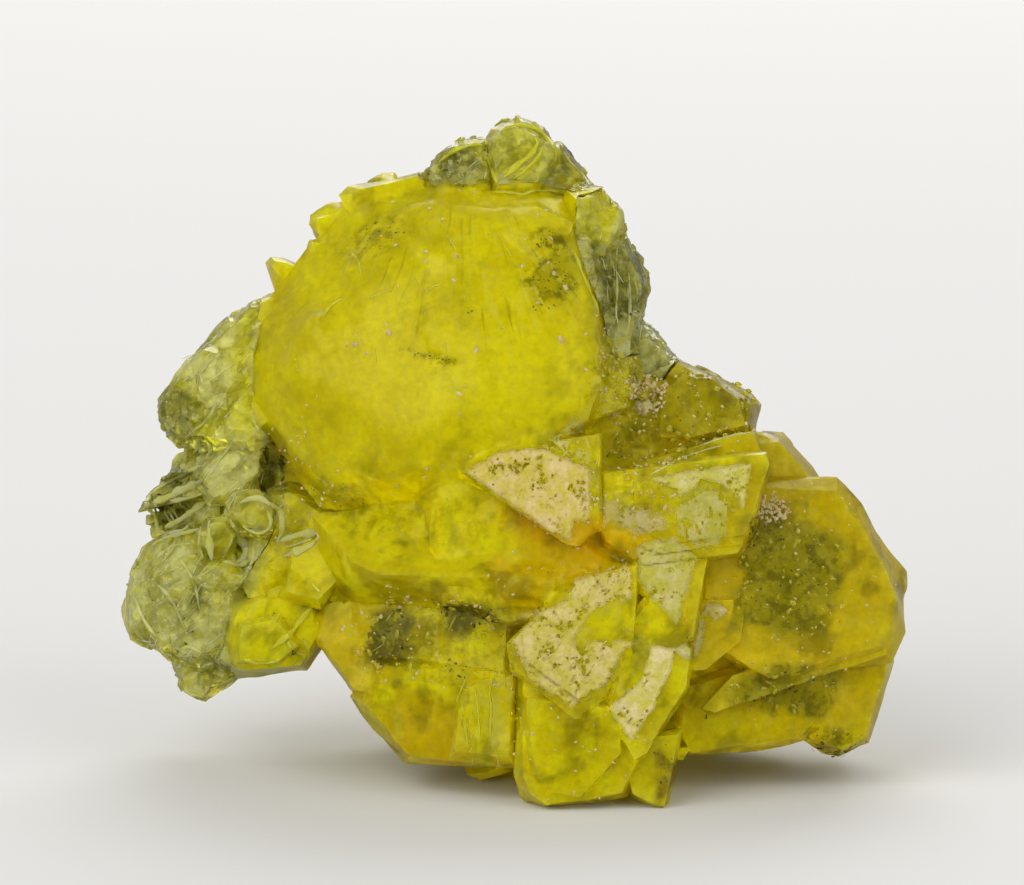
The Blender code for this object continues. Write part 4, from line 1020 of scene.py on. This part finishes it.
LEMON_CRESTS = (
    (0.022, 0.05, 0.10, ((486, 141), (486, 150), (491, 166), (498, 181))),
    (0.024, 0.05, 0.10, ((500, 127), (513, 121), (526, 121), (539, 125), (549, 135), (555, 147),
                         (555, 157), (549, 167))),
    (0.036, 0.06, 0.12, ((534, 133), (538, 138), (534, 148), (520, 160), (503, 175))),
    (0.022, 0.05, 0.10, ((543, 142), (539, 153), (526, 166), (513, 176))),
    (0.026, 0.05, 0.10, ((437, 159), (453, 147), (468, 142), (477, 140), (485, 143))),
    (0.022, 0.04, 0.08, ((491, 188), (513, 190), (523, 192), (536, 187), (563, 188))),
    (0.024, 0.04, 0.08, ((574, 248), (583, 273), (593, 296), (600, 317))),
    (0.020, 0.03, 0.06, ((423, 294), (433, 286), (442, 284))),
    (0.014, 0.02, 0.05, ((445, 231), (456, 249))),
    (0.014, 0.02, 0.05, ((366, 300), (378, 292), (392, 290))),
    (0.016, 0.03, 0.06, ((318, 320), (330, 304), (345, 296))),
    (0.016, 0.03, 0.06, ((348, 250), (358, 262), (360, 280))),
    (0.030, 0.05, 0.10, ((240, 661), (258, 665), (275, 663))),
    (0.032, 0.05, 0.10, ((267, 652), (284, 639), (299, 622), (310, 608))),
    (0.026, 0.04, 0.08, ((300, 640), (306, 655), (300, 668))),
    (0.022, 0.04, 0.08, ((308, 582), (317, 592), (328, 600))),
    (0.022, 0.04, 0.08, ((284, 640), (291, 652), (303, 658))),
    (0.010, 0.03, 0.04, ((447, 634), (452, 624), (456, 616))),
    (0.010, 0.03, 0.04, ((430, 610), (446, 604), (468, 600))),
    (0.014, 0.03, 0.06, ((475, 690), (478, 715), (480, 745))),
    (0.014, 0.03, 0.06, ((490, 685), (491, 710), (490, 740))),
    (0.014, 0.03, 0.06, ((460, 700), (464, 722), (468, 748))),
    (0.014, 0.03, 0.06, ((500, 640), (503, 665), (506, 690))),
)


def smooth_line(line, step):
    """Evenly spaced points along a smooth curve through these ones."""
    ends = [line[0], *line, line[-1]]
    found = []
    for before, start, end, after in zip(ends, ends[1:], ends[2:], ends[3:]):
        a, b, c, d = (Vector(place) for place in (before, start, end, after))
        count = max(2, int((c - b).length / step))
        for index in range(count):
            t = index / count
            found.append(0.5 * (2 * b + (c - a) * t + (2 * a - 5 * b + 4 * c - d) * t * t
                                + (3 * b - a - 3 * c + d) * t * t * t))
    return found + [Vector(line[-1])]


def crest(half_width, proud, sunk, line, surfaces):
    """A sliver that follows the surface under a line, pointed at both ends."""
    spots = []
    for x, z in smooth_line([from_image(px, py) for px, py in line], CREST_STEP):
        hits = [tree.ray_cast(at(x, RAY_START, z), AHEAD)[0] for tree in surfaces]
        hits = [leaning(hit) for hit in hits if hit is not None]
        if hits:
            spots.append(min(hits, key=lambda hit: hit.y))
    if len(spots) < 3:
        return None
    for _ in range(3):
        depths = [spot.y for spot in spots]
        for before, spot, after in zip(depths, spots[1:-1], depths[2:]):
            spot.y = min(spot.y, (before + after) / 2)
    bpy.ops.object.select_all(action="DESELECT")
    bpy.ops.mesh.primitive_grid_add(x_subdivisions=len(spots) - 1, y_subdivisions=6, size=2)
    sliver = bpy.context.active_object
    shell = edit(sliver)
    section = ((-1.0, sunk), (-1.0, 0.0), (-0.45, -proud), (0.45, -proud), (1.0, 0.0),
               (1.0, sunk), (-1.0, sunk))
    for vert in shell.verts:
        index = round((vert.co.x + 1) / 2 * (len(spots) - 1))
        side, deep = section[round((vert.co.y + 1) / 2 * 6)]
        spot = spots[index]
        way = spots[min(index + 1, len(spots) - 1)] - spots[max(index - 1, 0)]
        way = Vector((way.x, way.z)).normalized()
        taper = min(1.0, 2.2 * (1 - abs(index / (len(spots) - 1) * 2 - 1))) ** 0.6
        taper *= max(0.2, 1.0 + 0.9 * noise.noise(spot * 4.0) + 0.5 * noise.noise(spot * 11.0))
        wide = half_width * CREST_SPREAD * taper * side
        rise = deep if deep > 0 else deep * CREST_FLATNESS
        vert.co = at(spot.x - way.y * wide, spot.y + rise * taper, spot.z + way.x * wide)
    bpy.ops.mesh.remove_doubles(threshold=0.0004 * MM)
    bpy.ops.mesh.normals_make_consistent(inside=False)
    finish_edit(sliver)
    return sliver


EDGE_GLASS = {"Roughness": 0.25, "Transmission Weight": 0.50, "Subsurface Weight": 0.8,
              "Subsurface Radius": (1.0, 0.95, 0.5), "Subsurface Scale": 0.1 * MM}
milk_glass = clouded("milk_glass", 5.0, 4.0, (0.35, 0.65), (0.84, 0.84, 0.16, 1.0),
                     (0.94, 0.93, 0.42, 1.0), EDGE_GLASS)
lemon_glass = clouded("lemon_glass", 5.0, 4.0, (0.35, 0.65), (0.86, 0.80, 0.02, 1.0),
                      (0.98, 0.94, 0.10, 1.0),
                      EDGE_GLASS | {"Specular Tint": (1.0, 0.95, 0.35, 1.0)})
glass_tree = BVHTree.FromObject(glass, bpy.context.evaluated_depsgraph_get())
for name, lines, finish in (("pale_crests", PALE_CRESTS, milk_glass),
                            ("lemon_crests", LEMON_CRESTS, lemon_glass)):
    slivers = [crest(*row, (body_tree, glass_tree)) for row in lines]
    slivers = [sliver for sliver in slivers if sliver is not None]
    select(*slivers)
    bpy.ops.object.join()
    bpy.ops.object.shade_smooth_by_angle(angle=radians(35))
    slivers[0].name = name
    slivers[0].data.materials.append(finish)
    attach(slivers[0], "root")

# Needles: zone, how many, lengths, way across and up, scatter in degrees.
PALE_NEEDLES = (
    (((-4.75, 0.0, 5.05), (0.55, 3.0, 0.60), 0), 60, (0.15, 0.40), (0.62, 0.78), 10),
    (((-5.5, 0.0, 2.8), (0.95, 3.0, 0.9), 0), 150, (0.12, 0.42), (0.75, 0.66), 12),
    (((-5.0, 0.0, 6.5), (0.7, 3.0, 0.8), 0), 80, (0.10, 0.36), (0.70, 0.70), 14),
    (((1.75, 0.0, 8.3), (0.5, 3.0, 1.2), 6), 46, (0.10, 0.34), (0.08, 1.0), 8),
    (((0.0, 0.0, 10.3), (1.3, 3.0, 0.7), 0), 14, (0.10, 0.25), (0.70, 0.70), 25),
)
LEMON_NEEDLES = (
    (((-0.9, -2.0, 7.9), (1.9, 1.8, 1.5), 0), 16, (0.10, 0.30), (0.28, -0.96), 10),
    (((-3.9, -1.0, 2.4), (0.7, 1.6, 0.6), 0), 16, (0.15, 0.50), (0.72, 0.69), 12),
    (((-1.3, -2.2, 2.5), (1.2, 1.6, 0.6), 0), 14, (0.10, 0.35), (0.4, 0.9), 40),
    (((-0.6, -2.5, 1.1), (0.6, 1.4, 0.8), 0), 18, (0.15, 0.55), (0.15, 0.98), 10),
    (((4.4, -1.8, 2.6), (1.3, 1.4, 1.6), 0), 8, (0.06, 0.18), (0.9, 0.4), 80),
)
NEEDLE_SEED = 29
NEEDLE_SHAPES = range(9, 12)
chance = Random(NEEDLE_SEED)
for name, rows, surface, finish in (
        ("pale_needles", PALE_NEEDLES, glass_surface, milk_glass),
        ("lemon_needles", LEMON_NEEDLES, body_surface, lemon_glass)):
    poses = []
    for zone, count, lengths, way, scatter in rows:
        for place, facing in places_on(surface, zone, count, chance):
            turn = Matrix.Rotation(radians(chance.uniform(-scatter, scatter)), 3, "Y")
            along = UPRIGHT @ (turn @ Vector((way[0], 0.0, way[1])))
            along = (along - facing * along.dot(facing)).normalized()
            side = along.cross(facing)
            length = chance.uniform(*lengths)
            wide = chance.uniform(0.006, 0.012)
            pose = Matrix((along * length / 2 * MM, side * wide * MM,
                           facing * wide * MM)).transposed().to_4x4()
            pose.translation = at(*place) - facing * 0.004 * MM
            poses.append(pose)
    needles = copies(name, 0.10, NEEDLE_SHAPES, poses)
    needles.data.materials.append(finish)
    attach(needles, "root")


# --- Stained grains: olive to nearly black specks of manganese ore and clay caught between
# --- the crystals, in clumps where the growth was interrupted.
# zone, how many, sizes (mm)
STAINS = (
    (((-2.05, -2.0, 2.42), (0.30, 1.4, 0.46), -35), 230, (0.012, 0.052)),
    (((-0.75, -2.2, 2.75), (0.50, 1.4, 0.20), 0), 210, (0.012, 0.046)),
    (((-0.95, -2.2, 1.95), (0.30, 1.4, 0.18), -30), 36, (0.010, 0.036)),
    (((0.52, -2.2, 8.88), (0.24, 1.4, 0.14), 20), 46, (0.008, 0.026)),
    (((0.62, -2.2, 8.30), (0.42, 1.4, 0.26), -35), 80, (0.007, 0.024)),
    (((0.50, -2.2, 7.80), (0.24, 1.4, 0.10), 10), 20, (0.007, 0.022)),
    (((-2.30, -1.6, 9.00), (0.50, 1.4, 0.25), 0), 50, (0.007, 0.024)),
    (((-1.35, -2.8, 6.97), (0.40, 1.4, 0.05), -8), 36, (0.008, 0.024)),
    (((-0.75, -2.6, 7.75), (0.10, 1.4, 0.10), 0), 6, (0.010, 0.030)),
    (((-3.05, -2.0, 4.70), (0.65, 1.6, 0.25), 0), 40, (0.008, 0.026)),
    (((-4.05, -0.7, 5.10), (0.20, 1.4, 0.28), 0), 40, (0.010, 0.036)),
    (((1.80, -1.6, 5.62), (0.35, 1.6, 0.22), 20), 110, (0.010, 0.040)),
    (((2.60, -1.5, 5.90), (0.90, 1.6, 0.50), 0), 60, (0.008, 0.026)),
    (((4.05, -1.7, 4.15), (0.34, 1.6, 0.34), -30), 170, (0.010, 0.042)),
    (((4.45, -1.7, 3.30), (0.80, 1.6, 0.80), 0), 120, (0.007, 0.026)),
    (((4.35, -1.7, 1.60), (0.80, 1.6, 0.40), 0), 80, (0.008, 0.030)),
    (((5.35, -1.2, 0.60), (0.42, 1.6, 0.26), 0), 80, (0.010, 0.042)),
    (((2.42, -2.2, 0.35), (0.15, 1.6, 0.40), 0), 60, (0.012, 0.044)),
    (((-3.75, -1.0, 2.15), (0.12, 1.4, 0.12), 0), 24, (0.012, 0.036)),
    (((-4.20, -0.9, 1.90), (0.30, 1.4, 0.03), 0), 20, (0.008, 0.020)),
    (((3.2, 0.0, 6.30), (0.90, 2.6, 0.60), 0), 70, (0.008, 0.030)),
    (((0.9, -2.9, 2.60), (1.2, 1.4, 0.90), 0), 70, (0.005, 0.016)),
)
STAINED_GLASS = (
    (((-1.0, 0.0, 10.2), (0.45, 3.0, 0.4), 0), 60, (0.008, 0.030)),
    (((1.9, 0.0, 8.0), (0.5, 3.0, 0.9), 0), 90, (0.008, 0.030)),
    (((-5.5, 0.0, 5.9), (0.5, 3.0, 0.6), 0), 50, (0.008, 0.030)),
    (((-5.3, 0.0, 2.8), (0.8, 3.0, 1.0), 0), 60, (0.008, 0.030)),
)
STAIN_SEED = 63
STAIN_SHAPES = range(80, 84)
chance = Random(STAIN_SEED)
poses = strewn(STAINS, body_surface, chance, sink=0.45, squash=0.5)
poses += strewn(STAINED_GLASS, glass_surface, chance, sink=0.45, squash=0.5)
stain = clouded("stained_grain", 6.0, 3.0, (0.35, 0.65), (0.05, 0.046, 0.003, 1.0),
                (0.26, 0.22, 0.006, 1.0), {"Roughness": 0.6, "Specular IOR Level": 0.15})
stains = copies("stained_grains", 0.30, STAIN_SHAPES, poses)
stains.data.materials.append(stain)
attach(stains, "root")


# --- Dust and crumbs on the cluster: pinkish white specks of clay and broken crystal,
# --- a few hundredths of a millimetre across, lying loose or stuck in small pits.
# zone, how many, sizes (mm)
DUSTINGS = (
    (((-1.3, -1.6, 7.3), (2.9, 1.9, 2.6), 0), 70, (0.014, 0.034)),
    (((-0.6, -1.8, 7.6), (2.3, 1.9, 2.0), 0), 24, (0.035, 0.062)),
    (((1.8, -1.5, 6.8), (0.6, 1.6, 0.9), 0), 240, (0.010, 0.036)),
    (((3.0, -1.2, 6.0), (1.2, 1.6, 0.8), 0), 80, (0.012, 0.032)),
    (((2.2, -1.5, 6.42), (0.30, 1.0, 0.36), 0), 170, (0.014, 0.044)),
    (((2.1, -2.4, 4.9), (1.1, 1.6, 0.6), 0), 110, (0.014, 0.034)),
    (((0.8, -2.9, 3.7), (1.5, 1.0, 0.9), 0), 60, (0.012, 0.032)),
    (((4.6, -1.7, 3.4), (1.6, 1.4, 1.6), 0), 90, (0.008, 0.028)),
    (((4.2, -1.7, 4.5), (0.32, 1.2, 0.28), 0), 150, (0.014, 0.042)),
    (((4.5, -1.7, 1.5), (1.6, 1.6, 0.9), 0), 50, (0.008, 0.026)),
    (((-1.2, -2.2, 2.4), (1.9, 1.6, 0.9), 0), 150, (0.012, 0.036)),
    (((0.9, -2.9, 1.0), (1.6, 1.2, 1.3), 0), 80, (0.012, 0.030)),
    (((-3.9, -1.0, 5.0), (1.0, 1.6, 1.0), 0), 70, (0.012, 0.034)),
)
GLASS_DUST = ((((-5.0, 0.0, 4.5), (2.0, 3.0, 4.0), 0), 90, (0.010, 0.026)),)
DUST_SEED = 77
DUST_SHAPES = range(50, 54)
chance = Random(DUST_SEED)
poses = strewn(DUSTINGS, body_surface, chance, sink=0.2)
poses += strewn(GLASS_DUST, glass_surface, chance, sink=0.2)
chalk = clouded("pale_dust", 2.5, 2.0, (0.4, 0.6), (0.60, 0.44, 0.18, 1.0),
                (0.66, 0.57, 0.26, 1.0), {"Roughness": 0.85})
dust = copies("pale_specks", 0.25, DUST_SHAPES, poses)
dust.data.materials.append(chalk)
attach(dust, "root")
